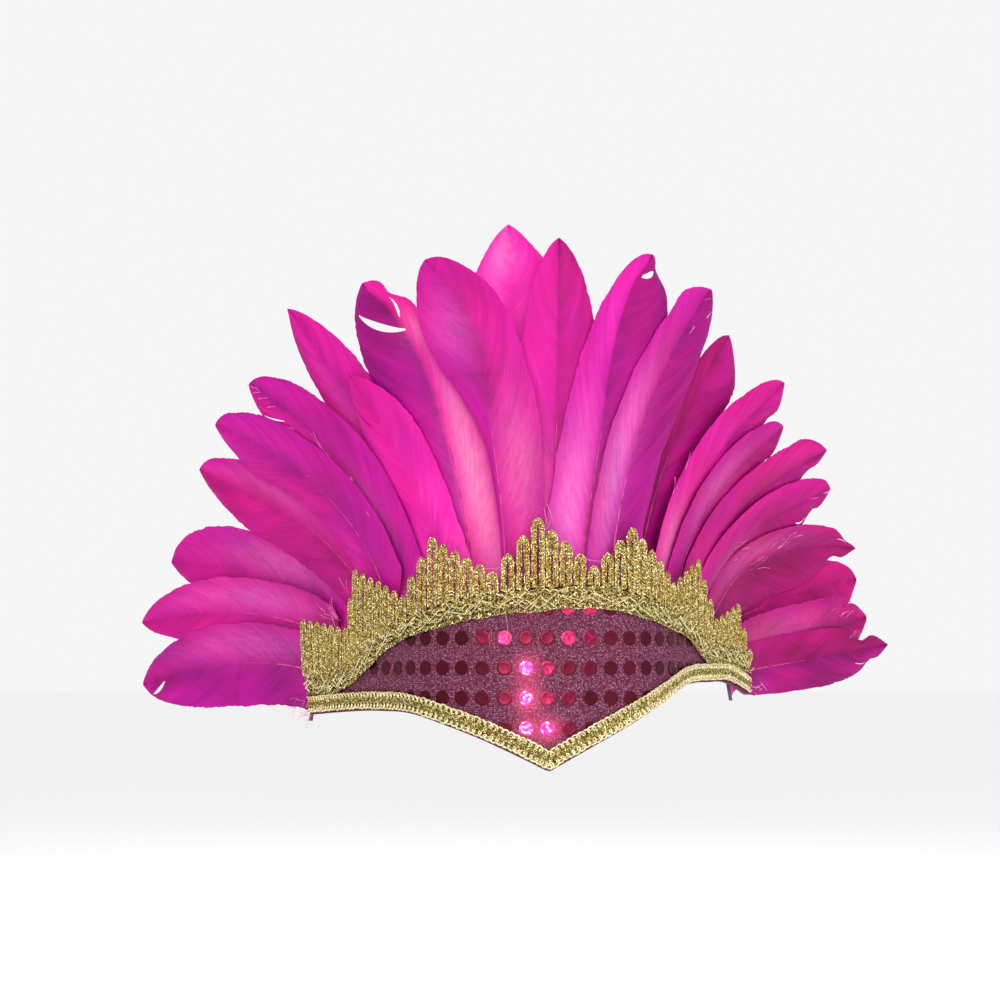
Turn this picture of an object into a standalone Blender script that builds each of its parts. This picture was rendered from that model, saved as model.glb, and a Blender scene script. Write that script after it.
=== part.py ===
"""Carnival feather headdress: a fan of feathers on a curved, trimmed forehead panel.

Metres, +Z up, the front faces -Y. The origin is on the panel's inner face, at the middle of
the forehead, level with the sequin row that crosses the widest part of the panel.

Everything is laid out flat first: a place along the band, a height, and a depth towards
the head. sheet_point then wraps that layout round the head.
"""
import math

import bmesh
import bpy
from mathutils import Vector

# The band round the forehead
BAND_HALF = 0.138            # from the middle to one end, along the band
WING_ANGLE = 53.0            # how far each wing turns back, in degrees
BEND_HALF = 0.070            # half the stretch that bends; the wings beyond are straight
FLARE_SHARE = 0.42           # how much of that turn the tops and side feathers open out again
FLARE_START = 0.0395         # height where the tops begin to open out
FLARE_RISE = 0.112           # height over which they do so
FLARE_RUN = 0.040            # length past the band's end over which the side feathers open out
CLEARANCE = 0.0003           # gap between pieces that touch

# The forehead panel
PANEL_THICKNESS = 0.0020     # card and cloth
PANEL_DROP = 0.041           # from the origin down to the point of the V
PANEL_ARCH = 0.0237          # from the origin up to the lace's foot at the middle
PANEL_MARGIN = 0.0150        # card that stands up behind the lace

# The sequins sewn to the panel
SEQUIN_DIAMETER = 0.0058
SEQUIN_RAISE = 0.0004
SEQUIN_CUP = 0.8             # width of the front face, a share of the diameter
SEQUIN_PITCH = 0.0085        # along the band
SEQUIN_ROW_PITCH = 0.0120
SEQUIN_OFFSET = 0.0010       # place of the middle column
SEQUIN_SIDES = 10

# The gold trims
TRIM_STANDOFF = 0.0008       # room for the sequins that run under a trim
BRAID_WIDTH = 0.0070
BRAID_THICKNESS = 0.0020
BRAID_MARGIN = 0.0010        # cloth that shows below the braid
HEADING_HEIGHT = 0.0070
HEADING_THICKNESS = 0.0018
LACE_THICKNESS = 0.0010
LACE_PEAK = 0.0607           # height of the middle peak above the origin
FINGER_ROUND = 0.0012        # how far the corners of a lace finger drop
FINGER_SLIT = 0.0003         # between two fingers
FINGERS_A_FLANK = 4

# The feathers
FEATHER_LENGTH = 0.175       # the longest, from the cut end of its quill
VANE_THICKNESS = 0.0006
VANE_EDGE = 0.0003
VANE_CAMBER = 0.0006         # how far the edges bend back
VANE_WIDTH = 0.023           # the widest half vane
QUILL_WIDTH = 0.0026         # at the cut end
QUILL_TAPER = 0.7            # share of that width lost by the tip
QUILL_FRONT = 0.00045        # shaft in front of the vane's middle
QUILL_BACK = 0.0013          # shaft behind it, at the cut end
LAYER_STEP = 0.0023          # from one layer of feathers to the next
LAYER_RUN = 0.020            # length of quill that reaches back to the layer

# The elastic
STRAP_WIDTH = 0.0080
STRAP_THICKNESS = 0.0012
STRAP_SEWN = 0.014           # overlap on the wing
STRAP_REACH = 0.075          # from the wing ends back to the far point
STRAP_LEAVING = 0.45         # how long it keeps to the wing, a share of its reach
STRAP_BACK = 0.62            # how flat its far stretch is, a share of half the head's width
STRAP_STEPS = 12
TAIL_WIDTH = 0.0022          # the elastic's cut ends, which hang below the corners
TAIL_THICKNESS = 0.0008
TAIL_LENGTH = 0.0150

# Ends of the elastic. side: left or right end of the band. height: its middle line.
# over: the layer of feathers that it is sewn over. tail, tail_foot: places of the cut end's
# top and foot, measured in from the band's end as shares of the sewn length.
STRAP_ENDS = (
    # side, height, over, tail, tail_foot
    (-1, -0.0090, 0, 0.10, -0.20),
    (1, 0.0000, 1, 0.60, 0.20),
)

# Lower edge of the panel: place along the band, height as a share of PANEL_DROP
LOWER_EDGE_LEFT = ((0.01, -1.00), (-0.13, -0.77), (-0.19, -0.68), (-0.29, -0.56), (-0.41, -0.46),
                   (-0.58, -0.44), (-0.85, -0.48), (-1.00, -0.51))
LOWER_EDGE_RIGHT = ((0.01, -1.00), (0.16, -0.72), (0.27, -0.53), (0.41, -0.32), (0.52, -0.19),
                    (0.70, -0.15), (0.84, -0.16), (0.92, -0.22), (1.00, -0.30))

# Foot of the lace: place along the band, height as a share of PANEL_ARCH
LACE_FOOT = ((-1.00, -0.50), (-0.87, -0.48), (-0.75, -0.38), (-0.62, 0.02), (-0.51, 0.36),
             (-0.41, 0.55), (-0.29, 0.70), (-0.19, 0.83), (0.00, 0.96), (0.16, 1.00),
             (0.31, 0.84), (0.43, 0.67), (0.54, 0.52), (0.67, 0.10), (0.75, 0.03),
             (0.87, 0.00), (1.00, -0.10))

# Tips and dips of the lace: place along the band, height as a share of LACE_PEAK
LACE_ZIGZAG = ((-1.00, 0.37), (-0.75, 0.29), (-0.70, 0.71), (-0.45, 0.50), (-0.33, 0.88),
               (-0.15, 0.64), (-0.02, 1.00), (0.14, 0.68), (0.26, 0.95), (0.44, 0.59),
               (0.61, 0.78), (0.74, 0.36), (0.91, 0.49), (1.00, 0.12))

# One row for each feather, from the left of the photograph to the right.
# place: cut end along the band, a share of BAND_HALF. rise: its height, a share of PANEL_ARCH.
# lean: degrees from upright. length: share of FEATHER_LENGTH. bend: degrees from end to end.
# left, right: half vanes, shares of VANE_WIDTH. foot_l, foot_r: each half's width low down, as
# a share of its full width. point: 0 is a round tip, 1 a sharp one.
# layer: how many layers back. roll: degrees that the right half vane turns back.
FEATHERS = (
    # place, rise, lean, length, bend, left, foot_l, right, foot_r, point, layer, roll
    (-0.81, -0.34, -90, 0.77, -36, 0.87, 0.86, 0.83, 0.80, 0.10, 0, 0),
    (-0.81, 0.25, -83, 0.80, -38, 0.65, 0.86, 0.72, 0.86, 0.20, 1, 0),
    (-0.79, 0.52, -73, 0.75, -30, 0.70, 0.86, 0.80, 0.86, 0.20, 3, 0),
    (-0.60, 0.62, -55, 0.77, -22, 0.80, 0.60, 0.70, 0.86, 0.10, 2, 0),
    (-0.53, 0.75, -47, 0.78, -42, 0.52, 0.86, 0.66, 0.86, 0.10, 0, 0),
    (-0.46, 0.75, -37, 0.79, -38, 0.50, 0.80, 0.70, 0.86, 0.20, 1, 0),
    (-0.37, 0.75, -28, 0.93, -20, 0.54, 0.90, 0.57, 0.86, 0.80, 4, 0),
    (-0.27, 0.75, -27, 0.71, -10, 0.55, 0.80, 0.68, 0.80, 0.80, 2, 0),
    (-0.19, 0.50, -21, 0.94, -26, 0.95, 0.80, 0.87, 0.90, 0.10, 3, 0),
    (-0.12, 0.50, -12, 0.94, -32, 0.80, 0.28, 0.96, 0.66, 0.05, 0, 0),
    (-0.06, 0.50, -2, 1.00, -3, 0.80, 0.80, 0.85, 0.80, 0.40, 4, 0),
    (0.01, 0.50, 2, 0.96, -4, 0.70, 0.86, 0.78, 0.86, 0.30, 2, 0),
    (0.09, 0.50, 13, 0.96, 15, 0.78, 0.90, 1.00, 0.60, 0.05, 1, 0),
    (0.20, 0.72, 20, 0.91, 40, 0.52, 0.86, 0.68, 0.86, 0.10, 0, 0),
    (0.33, 0.75, 22, 0.79, 20, 0.46, 0.86, 0.85, 0.80, 0.30, 3, 0),
    (0.43, 0.75, 34, 0.76, 30, 0.60, 0.90, 0.57, 0.86, 0.40, 1.5, 12),
    (0.52, 0.75, 35, 0.67, 28, 0.56, 0.90, 0.60, 0.86, 0.15, 1.5, 12),
    (0.60, 0.63, 47, 0.72, 30, 0.66, 0.90, 0.60, 0.86, 0.35, 1.5, 12),
    (0.67, 0.48, 53, 0.70, 28, 0.60, 0.90, 0.65, 0.86, 0.10, 1.5, 12),
    (0.73, 0.34, 66, 0.79, 56, 0.46, 0.90, 0.57, 0.86, 0.60, 1.5, 12),
    (0.76, 0.22, 73, 0.79, 14, 0.60, 0.86, 0.57, 0.86, 0.05, 4, 0),
    (0.79, 0.06, 79, 0.77, -12, 0.70, 0.86, 0.60, 0.86, 0.00, 1, 0),
    (0.86, -0.17, 83, 0.76, -3, 0.55, 0.86, 0.60, 0.86, 0.40, 0, 0),
)
FEATHER_STATIONS = (0.0, 0.06, 0.13, 0.20, 0.29, 0.42, 0.58, 0.72, 0.83, 0.91, 0.97, 1.0)
VANE_START = 0.04            # share of the length where the barbs begin
VANE_FULL = 0.24             # share where the vane has its width
TIP_START = 0.60             # share where the tip begins to round off
TIP_FULLNESS = 2.2           # a higher number keeps its width longer

WRAP_STEPS = 32              # straight stretches that stand for the bend


def ease(value):
    """Smooth step from 0 to 1."""
    value = min(max(value, 0.0), 1.0)
    return value * value * (3.0 - 2.0 * value)


def sheet_turn(along, height):
    """Angle that the sheet has turned back at a place, in radians."""
    up = ease((height - FLARE_START) / FLARE_RISE)
    out = ease((abs(along) - BAND_HALF) / FLARE_RUN)
    opened = 1.0 - FLARE_SHARE * (1.0 - (1.0 - up) * (1.0 - out))
    return math.radians(WING_ANGLE) * ease(abs(along) / BEND_HALF) * opened


def sheet_point(along, height, depth):
    """Wraps a point of the flat layout round the head; depth counts towards the head."""
    step = abs(along) / WRAP_STEPS
    x = 0.0
    y = 0.0
    for index in range(WRAP_STEPS):
        angle = sheet_turn((index + 0.5) * step, height)
        x += math.cos(angle) * step
        y += math.sin(angle) * step
    angle = sheet_turn(along, height)
    x -= math.sin(angle) * depth
    y += math.cos(angle) * depth
    return Vector((math.copysign(x, along), y, height))


def curve_through(rows, place):
    """Smooth curve through (place, value) rows, straight past their ends."""
    rows = sorted(rows)
    index = 0
    while index < len(rows) - 2 and place > rows[index + 1][0]:
        index += 1
    (x0, y0), (x1, y1) = rows[index], rows[index + 1]
    before = rows[max(index - 1, 0)]
    after = rows[min(index + 2, len(rows) - 1)]
    slope0 = (y1 - before[1]) / (x1 - before[0])
    slope1 = (after[1] - y0) / (after[0] - x0)
    width = x1 - x0
    t = min(max((place - x0) / width, 0.0), 1.0)
    value = y0 * (2 * t**3 - 3 * t**2 + 1) + y1 * (3 * t**2 - 2 * t**3)
    return value + width * (slope0 * (t**3 - 2 * t**2 + t) + slope1 * (t**3 - t**2))


def lower_edge(along):
    """Height of the panel's lower edge."""
    place = along / BAND_HALF
    rows = LOWER_EDGE_LEFT if place < LOWER_EDGE_LEFT[0][0] else LOWER_EDGE_RIGHT
    return PANEL_DROP * curve_through(rows, place)


def braid_slant(along):
    """How much longer than its width the slanting braid is, measured upright."""
    span = SEQUIN_PITCH / 2
    rise = (lower_edge(along + span) - lower_edge(along - span)) / (2 * span)
    return math.sqrt(1.0 + rise * rise)


def braid_bottom(along):
    return lower_edge(along) + BRAID_MARGIN


def braid_top(along):
    return braid_bottom(along) + BRAID_WIDTH * braid_slant(along)


def lace_foot(along):
    """Height of the lace's foot, which never runs into the braid."""
    wanted = PANEL_ARCH * curve_through(LACE_FOOT, along / BAND_HALF)
    return max(wanted, braid_top(along) + CLEARANCE)


def heading_top(along):
    return lace_foot(along) + HEADING_HEIGHT


def panel_top(along):
    return lace_foot(along) + PANEL_MARGIN


def band_places():
    """Places along the band: midway between the sequin columns, at the V and at both ends."""
    places = [-BAND_HALF, LOWER_EDGE_LEFT[0][0] * BAND_HALF, BAND_HALF]
    count = int(BAND_HALF / SEQUIN_PITCH) + 2
    for index in range(-count, count + 1):
        place = SEQUIN_OFFSET + (index + 0.5) * SEQUIN_PITCH
        if abs(place) < BAND_HALF - SEQUIN_PITCH / 4:
            places.append(place)
    return sorted(places)


def on_facets(height_of, along):
    """Height of an edge at a place, straight between the band's own places."""
    places = band_places()
    index = 0
    while index < len(places) - 2 and along > places[index + 1]:
        index += 1
    share = (along - places[index]) / (places[index + 1] - places[index])
    share = min(max(share, 0.0), 1.0)
    return height_of(places[index]) * (1.0 - share) + height_of(places[index + 1]) * share


def new_material(name, colour, roughness, metallic=0.0):
    material = bpy.data.materials.new(name)
    material.use_nodes = True
    shader = material.node_tree.nodes["Principled BSDF"]
    shader.inputs["Base Color"].default_value = (*colour, 1.0)
    shader.inputs["Roughness"].default_value = roughness
    shader.inputs["Metallic"].default_value = metallic
    return material


def new_object(name, mesh_data, material):
    """Turns a finished bmesh into a named object with its material."""
    bmesh.ops.recalc_face_normals(mesh_data, faces=mesh_data.faces)
    mesh = bpy.data.meshes.new(name)
    mesh_data.to_mesh(mesh)
    mesh_data.free()
    mesh.materials.append(material)
    item = bpy.data.objects.new(name, mesh)
    bpy.context.scene.collection.objects.link(item)
    return item


def join_to(item, other):
    """Fuses another body to an object and removes it."""
    union = item.modifiers.new("joined", "BOOLEAN")
    union.operation = "UNION"
    union.solver = "EXACT"
    union.object = other
    bpy.context.view_layer.update()
    evaluated = item.evaluated_get(bpy.context.evaluated_depsgraph_get())
    mesh = bpy.data.meshes.new_from_object(evaluated)
    item.modifiers.clear()
    item.data = mesh
    bpy.data.objects.remove(other)


def loft(rings):
    """Closed body through rings of equal point counts. Both faces of a wall are cut along the
    same diagonals, so that they can't pass through each other where the wall is thin."""
    body = bmesh.new()
    rows = [[body.verts.new(point) for point in ring] for ring in rings]
    count = len(rings[0])
    for row, following in zip(rows, rows[1:]):
        for index in range(count):
            other = (index + 1) % count
            if index < count // 2:
                body.faces.new((row[index], row[other], following[other]))
                body.faces.new((row[index], following[other], following[index]))
            else:
                body.faces.new((row[index], row[other], following[index]))
                body.faces.new((row[other], following[other], following[index]))
    body.faces.new(rows[0])
    body.faces.new(rows[-1])
    return body


def band_strip(stations, front, back):
    """Body that follows the band; a station is (place, low height, high height)."""
    rings = []
    for along, low, high in stations:
        rings.append([sheet_point(along, low, front), sheet_point(along, high, front),
                      sheet_point(along, high, back), sheet_point(along, low, back)])
    return loft(rings)


def sequin_centres():
    """Columns and rows of sequins whose middles show between the trims."""
    centres = []
    columns = int(BAND_HALF / SEQUIN_PITCH)
    rows = int(max(PANEL_DROP, PANEL_ARCH) / SEQUIN_ROW_PITCH) + 1
    for column in range(-columns, columns + 1):
        along = SEQUIN_OFFSET + column * SEQUIN_PITCH
        for row in range(-rows, rows + 1):
            height = row * SEQUIN_ROW_PITCH
            if braid_top(along) - SEQUIN_RAISE < height < lace_foot(along) + SEQUIN_RAISE:
                centres.append((along, height))
    return centres


def add_sequin(body, along, height):
    """Ten-sided cup on the flat stretch of panel between two band places."""
    half = SEQUIN_PITCH / 2
    before = sheet_point(along - half, height, -PANEL_THICKNESS)
    after = sheet_point(along + half, height, -PANEL_THICKNESS)
    across = (after - before).normalized()
    outward = across.cross(Vector((0.0, 0.0, 1.0)))
    centre = (before + after) / 2
    levels = ((1.0, -PANEL_THICKNESS / 2), (1.0, SEQUIN_RAISE / 2), (SEQUIN_CUP, SEQUIN_RAISE))
    rings = []
    for width, raise_by in levels:
        ring = []
        for side in range(SEQUIN_SIDES):
            angle = 2 * math.pi * (side + 0.5) / SEQUIN_SIDES
            reach = width * SEQUIN_DIAMETER / 2
            spread = across * math.cos(angle) + Vector((0.0, 0.0, math.sin(angle)))
            ring.append(body.verts.new(centre + spread * reach + outward * raise_by))
        rings.append(ring)
    for lower, upper in zip(rings, rings[1:]):
        for side in range(SEQUIN_SIDES):
            following = (side + 1) % SEQUIN_SIDES
            body.faces.new((lower[side], lower[following], upper[following], upper[side]))
    body.faces.new(list(reversed(rings[0])))
    body.faces.new(rings[-1])


def build_panel():
    """Curved panel of card and cloth, with the sequins fused to its front."""
    stations = [(place, lower_edge(place), panel_top(place)) for place in band_places()]
    cloth = new_material("glitter_cloth", (0.20, 0.05, 0.12), 0.55)
    panel = new_object("front_panel", band_strip(stations, -PANEL_THICKNESS, 0.0), cloth)
    sequins = bmesh.new()
    for along, height in sequin_centres():
        add_sequin(sequins, along, height)
    sewn = new_object("sequins", sequins, cloth)
    join_to(panel, sewn)


def lace_fingers():
    """Middle and height of each finger: one on every tip and dip, the rest stepped between."""
    points = [(place * BAND_HALF, share * LACE_PEAK) for place, share in LACE_ZIGZAG]
    fingers = []
    for (start, low), (stop, high) in zip(points, points[1:]):
        for step in range(FINGERS_A_FLANK):
            share = step / FINGERS_A_FLANK
            fingers.append((start + (stop - start) * share, low + (high - low) * share))
    fingers.append(points[-1])
    return fingers


def lace_stations():
    """Outline of the lace: a rounded top on every finger and a narrow slit between two."""
    fingers = lace_fingers()
    middles = [place for place, top in fingers]
    borders = [(a + b) / 2 for a, b in zip(middles, middles[1:])]
    starts = [middles[0]] + [border + FINGER_SLIT / 2 for border in borders]
    stops = [border - FINGER_SLIT / 2 for border in borders] + [middles[-1]]
    stations = []
    for (middle, top), start, stop in zip(fingers, starts, stops):
        places = ((start, FINGER_ROUND), ((start + stop) / 2, 0.0), (stop, FINGER_ROUND))
        for place, drop in places:
            foot = on_facets(heading_top, place) + CLEARANCE
            stations.append((place, foot, max(top - drop, foot + FINGER_ROUND)))
    return stations


def build_trims():
    """Gold lace, its heading and the braid, all on the panel's front."""
    gold = new_material("gold_metal_thread", (0.55, 0.42, 0.12), 0.35, 0.8)
    surface = -PANEL_THICKNESS - TRIM_STANDOFF
    lace = band_strip(lace_stations(), surface - LACE_THICKNESS, surface)
    new_object("peak_lace", lace, gold)
    places = band_places()
    heading = [(place, lace_foot(place), heading_top(place)) for place in places]
    new_object("lace_heading", band_strip(heading, surface - HEADING_THICKNESS, surface), gold)
    braid = [(place, braid_bottom(place), braid_top(place) - CLEARANCE) for place in places]
    new_object("edge_braid", band_strip(braid, surface - BRAID_THICKNESS, surface), gold)


def vane_share(t, foot, point):
    """Half vane at share t of the feather, as a share of its full width."""
    grown = ease((t - VANE_START) / (VANE_FULL - VANE_START))
    swell = foot + (1.0 - foot) * ease((t - VANE_FULL) / (TIP_START - VANE_FULL))
    past = min(max((t - TIP_START) / (1.0 - TIP_START), 0.0), 1.0)
    return grown * swell * (1.0 - past**TIP_FULLNESS) ** (0.5 + 0.5 * point)


def feather_section(along, height, heading, depth, left, right, quill, roll):
    """Ring of ten points across a feather: edge, shaft side, shaft ridge and back again."""
    half = VANE_THICKNESS / 2
    edge = VANE_EDGE / 2
    camber = VANE_CAMBER
    shaft = quill / 2
    back = QUILL_BACK * quill / QUILL_WIDTH
    offsets = ((-left, camber - edge), (-shaft, -half), (0.0, -QUILL_FRONT), (shaft, -half),
               (right, camber - edge), (right, camber + edge), (shaft, half), (0.0, max(back, half)),
               (-shaft, half), (-left, camber + edge))
    ring = []
    for across, thickness in offsets:
        place = along + math.cos(heading) * across
        level = height - math.sin(heading) * across
        ring.append(sheet_point(place, level, depth + thickness + across * math.tan(roll)))
    return ring


def build_feather(name, row, material):
    """Lofts one feather along its bent shaft."""
    place, rise, lean, length, bend, left, foot_l, right, foot_r, point, layer, roll = row
    length *= FEATHER_LENGTH
    start_depth = CLEARANCE + QUILL_FRONT
    end_depth = start_depth + layer * LAYER_STEP
    along = place * BAND_HALF
    height = rise * PANEL_ARCH
    rings = []
    previous = 0.0
    for t in FEATHER_STATIONS:
        heading = math.radians(lean + bend * ((t + previous) / 2 - 0.5))
        along += math.sin(heading) * length * (t - previous)
        height += math.cos(heading) * length * (t - previous)
        previous = t
        depth = start_depth + (end_depth - start_depth) * ease(t * length / LAYER_RUN)
        quill = QUILL_WIDTH * (1.0 - QUILL_TAPER * t)
        half_left = left * VANE_WIDTH * vane_share(t, foot_l, point)
        half_right = right * VANE_WIDTH * vane_share(t, foot_r, point)
        side = math.radians(lean + bend * (t - 0.5))
        turned = math.radians(roll) * ease(t / VANE_FULL)
        rings.append(feather_section(along, height, side, depth, half_left + quill,
                                     half_right + quill, quill, turned))
    new_object(name, loft(rings), material)


def build_feathers():
    dyed = new_material("dyed_feather", (0.70, 0.02, 0.35), 0.45)
    for number, row in enumerate(FEATHERS, start=1):
        build_feather(f"feather_{number:02d}", row, dyed)


def bezier(start, first, second, stop, t):
    """Point at share t of a cubic curve."""
    u = 1.0 - t
    return start * u**3 + first * 3 * t * u * u + second * 3 * t * t * u + stop * t**3


def strap_depth(over):
    """Depth of the elastic's middle where it is sewn over a layer of feathers."""
    return 2 * CLEARANCE + QUILL_FRONT + QUILL_BACK + over * LAYER_STEP + STRAP_THICKNESS / 2


def half_strap(side, height, over, far):
    """Points from one sewn end to the far point behind the head."""
    depth = strap_depth(over)
    sewn = sheet_point(side * (BAND_HALF - STRAP_SEWN), height, depth)
    leave = sheet_point(side * BAND_HALF, height, depth)
    along_wing = (leave - sewn).normalized()
    first = leave + along_wing * STRAP_REACH * STRAP_LEAVING
    second = far + Vector((leave.x * STRAP_BACK, 0.0, 0.0))
    return [sewn] + [bezier(leave, first, second, far, step / STRAP_STEPS)
                     for step in range(STRAP_STEPS + 1)]


def build_tail(side, height, over, tail, tail_foot, material):
    """Cut end of the elastic, which hangs below the corner of the panel."""
    depth = strap_depth(over)
    rings = []
    for share, drop in ((tail, 0.0), (tail_foot, TAIL_LENGTH)):
        place = side * (BAND_HALF - share * STRAP_SEWN)
        ring = []
        for across, through in ((-1, -1), (1, -1), (1, 1), (-1, 1)):
            ring.append(sheet_point(place + across * TAIL_WIDTH / 2, height - drop,
                                    depth + through * TAIL_THICKNESS / 2))
        rings.append(ring)
    return new_object("tail", loft(rings), material)


def build_strap():
    """Flat elastic, sewn inside both wing ends and led round the back of the head."""
    elastic = new_material("purple_elastic", (0.10, 0.03, 0.08), 0.7)
    wing_end = sheet_point(BAND_HALF, 0.0, 0.0)
    middle_height = sum(row[1] for row in STRAP_ENDS) / len(STRAP_ENDS)
    far = Vector((0.0, wing_end.y + STRAP_REACH, middle_height))
    left, right = [half_strap(side, height, over, far)
                   for side, height, over, tail, tail_foot in STRAP_ENDS]
    path = left + list(reversed(right[:-1]))
    rings = []
    for index, point in enumerate(path):
        before = path[max(index - 1, 0)]
        after = path[min(index + 1, len(path) - 1)]
        run = after - before
        run.z = 0.0
        side = run.normalized().cross(Vector((0.0, 0.0, 1.0))) * STRAP_THICKNESS / 2
        up = Vector((0.0, 0.0, STRAP_WIDTH / 2))
        rings.append([point - side - up, point + side - up, point + side + up, point - side + up])
    strap = new_object("elastic_strap", loft(rings), elastic)
    for row in STRAP_ENDS:
        join_to(strap, build_tail(*row, elastic))


def main():
    for item in list(bpy.data.objects):
        bpy.data.objects.remove(item)
    build_panel()
    build_trims()
    build_feathers()
    build_strap()


main()
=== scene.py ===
"""Carnival feather headdress: the dressed model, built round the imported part. In metres."""

import math
import random
from functools import partial

import bpy
import numpy as np
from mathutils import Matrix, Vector, noise


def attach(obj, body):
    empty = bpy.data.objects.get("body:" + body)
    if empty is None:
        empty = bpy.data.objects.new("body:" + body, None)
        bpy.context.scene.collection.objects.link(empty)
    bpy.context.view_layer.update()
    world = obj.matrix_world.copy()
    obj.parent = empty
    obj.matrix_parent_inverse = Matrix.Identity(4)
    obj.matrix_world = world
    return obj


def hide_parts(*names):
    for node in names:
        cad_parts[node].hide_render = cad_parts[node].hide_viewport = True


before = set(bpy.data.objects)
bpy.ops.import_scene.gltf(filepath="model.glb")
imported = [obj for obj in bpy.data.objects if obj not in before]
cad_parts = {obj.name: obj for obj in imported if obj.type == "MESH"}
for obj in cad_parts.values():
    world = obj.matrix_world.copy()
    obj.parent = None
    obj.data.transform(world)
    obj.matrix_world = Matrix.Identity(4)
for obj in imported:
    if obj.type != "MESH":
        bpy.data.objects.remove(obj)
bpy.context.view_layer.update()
bpy.ops.object.select_all(action="DESELECT")

# Forehead panel
# Thin card cut to a V and bent round the forehead, covered with plum glitter jersey that is
# turned in and glued behind. Everything else is sewn or glued to it.
BAND_HALF = 0.138
WING_ANGLE = math.radians(53.0)
BEND_HALF = 0.070
FLARE_SHARE = 0.42
FLARE_START = 0.0395
FLARE_RISE = 0.112
FLARE_RUN = 0.040
WRAP_STEPS = 48
PANEL_THICKNESS = 0.0020
PANEL_DROP = 0.041
PANEL_ARCH = 0.0237
PANEL_MARGIN = 0.0095
PANEL_COLUMNS = 150
PANEL_ROWS = 36
BRAID_WIDTH = 0.0070
BRAID_MARGIN = 0.0010
HEADING_HEIGHT = 0.0086
END_LEAN = 0.0045
LEAN_START = 0.80
LEAN_TOP = 0.022
LEAN_RUN = 0.042
LOWER_EDGE_LEFT = ((0.01, -1.00), (-0.13, -0.77), (-0.19, -0.68), (-0.29, -0.56), (-0.41, -0.46),
                   (-0.58, -0.44), (-0.85, -0.48), (-1.00, -0.51))
LOWER_EDGE_RIGHT = ((0.01, -1.00), (0.16, -0.72), (0.27, -0.53), (0.41, -0.32), (0.52, -0.19),
                    (0.70, -0.15), (0.84, -0.16), (0.92, -0.22), (1.00, -0.30))
LACE_FOOT = ((-1.00, -0.50), (-0.87, -0.48), (-0.75, -0.38), (-0.62, 0.02), (-0.51, 0.36),
             (-0.41, 0.55), (-0.29, 0.70), (-0.19, 0.83), (0.00, 0.96), (0.16, 1.00),
             (0.31, 0.84), (0.43, 0.67), (0.54, 0.52), (0.67, 0.10), (0.75, 0.03),
             (0.87, 0.00), (1.00, -0.10))


def ease(value):
    """Smooth step from 0 to 1."""
    value = np.clip(value, 0.0, 1.0)
    return value * value * (3.0 - 2.0 * value)


def sheet_turn(span, height):
    """Angle that the headdress has turned back at a distance from its middle."""
    up = ease((height - FLARE_START) / FLARE_RISE)
    out = ease((span - BAND_HALF) / FLARE_RUN)
    opened = 1.0 - FLARE_SHARE * (1.0 - (1.0 - up) * (1.0 - out))
    return WING_ANGLE * ease(span / BEND_HALF) * opened


def wrap(along, height, depth):
    """Lays flat places round the head; depth counts towards the head."""
    along, height, depth = np.broadcast_arrays(along, height, depth)
    span = np.abs(along)
    step = span / WRAP_STEPS
    x = np.zeros(along.shape)
    y = np.zeros(along.shape)
    for index in range(WRAP_STEPS):
        turn = sheet_turn((index + 0.5) * step, height)
        x += np.cos(turn) * step
        y += np.sin(turn) * step
    turn = sheet_turn(span, height)
    x -= np.sin(turn) * depth
    y += np.cos(turn) * depth
    return np.stack([np.copysign(x, along), y, height], axis=-1)


def curve_through(rows, places):
    """Smooth curve through (place, value) rows, read at many places."""
    known, values = np.array(sorted(rows)).T
    slopes = np.gradient(values, known)
    index = np.clip(np.searchsorted(known, places) - 1, 0, len(known) - 2)
    width = known[index + 1] - known[index]
    t = np.clip((places - known[index]) / width, 0.0, 1.0)
    ends = values[index] * (2 * t**3 - 3 * t**2 + 1) + values[index + 1] * (3 * t**2 - 2 * t**3)
    return ends + width * (slopes[index] * (t**3 - 2 * t**2 + t) + slopes[index + 1] * (t**3 - t**2))


def lower_edge(along):
    """Height of the panel's lower edge."""
    place = np.asarray(along, float) / BAND_HALF
    left = curve_through(LOWER_EDGE_LEFT, place)
    right = curve_through(LOWER_EDGE_RIGHT, place)
    return PANEL_DROP * np.where(place < LOWER_EDGE_LEFT[0][0], left, right)


def braid_edges(along):
    """Heights of the braid's lower and upper edge."""
    run = 0.004
    rise = (lower_edge(along + run) - lower_edge(along - run)) / (2 * run)
    bottom = lower_edge(along) + BRAID_MARGIN
    return bottom, bottom + BRAID_WIDTH * np.sqrt(1.0 + rise * rise)


def lace_foot(along):
    """Height of the line that the lace stands on, never below the braid."""
    wanted = PANEL_ARCH * curve_through(LACE_FOOT, np.asarray(along, float) / BAND_HALF)
    return np.maximum(wanted, braid_edges(along)[1])


def end_lean(along, height):
    """How far the end at the wearer's right leans in towards its foot."""
    sideways = ease((-along / BAND_HALF - LEAN_START) / (1.0 - LEAN_START))
    return END_LEAN * sideways * ease((LEAN_TOP - height) / LEAN_RUN)


def linear(code):
    """Linear colour of an sRGB hex value."""
    parts = [int(code[index:index + 2], 16) / 255.0 for index in (1, 3, 5)]
    return tuple(part / 12.92 if part < 0.04045 else ((part + 0.055) / 1.055) ** 2.4
                 for part in parts) + (1.0,)


def wire(node, inputs):
    """Sets a node's inputs; a socket is linked instead, and a node by its first live output."""
    for key, value in inputs.items():
        if isinstance(value, bpy.types.Node):
            value = next(socket for socket in value.outputs if socket.enabled)
        if isinstance(value, bpy.types.NodeSocket):
            node.id_data.links.new(value, node.inputs[key])
        else:
            node.inputs[key].default_value = value


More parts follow.
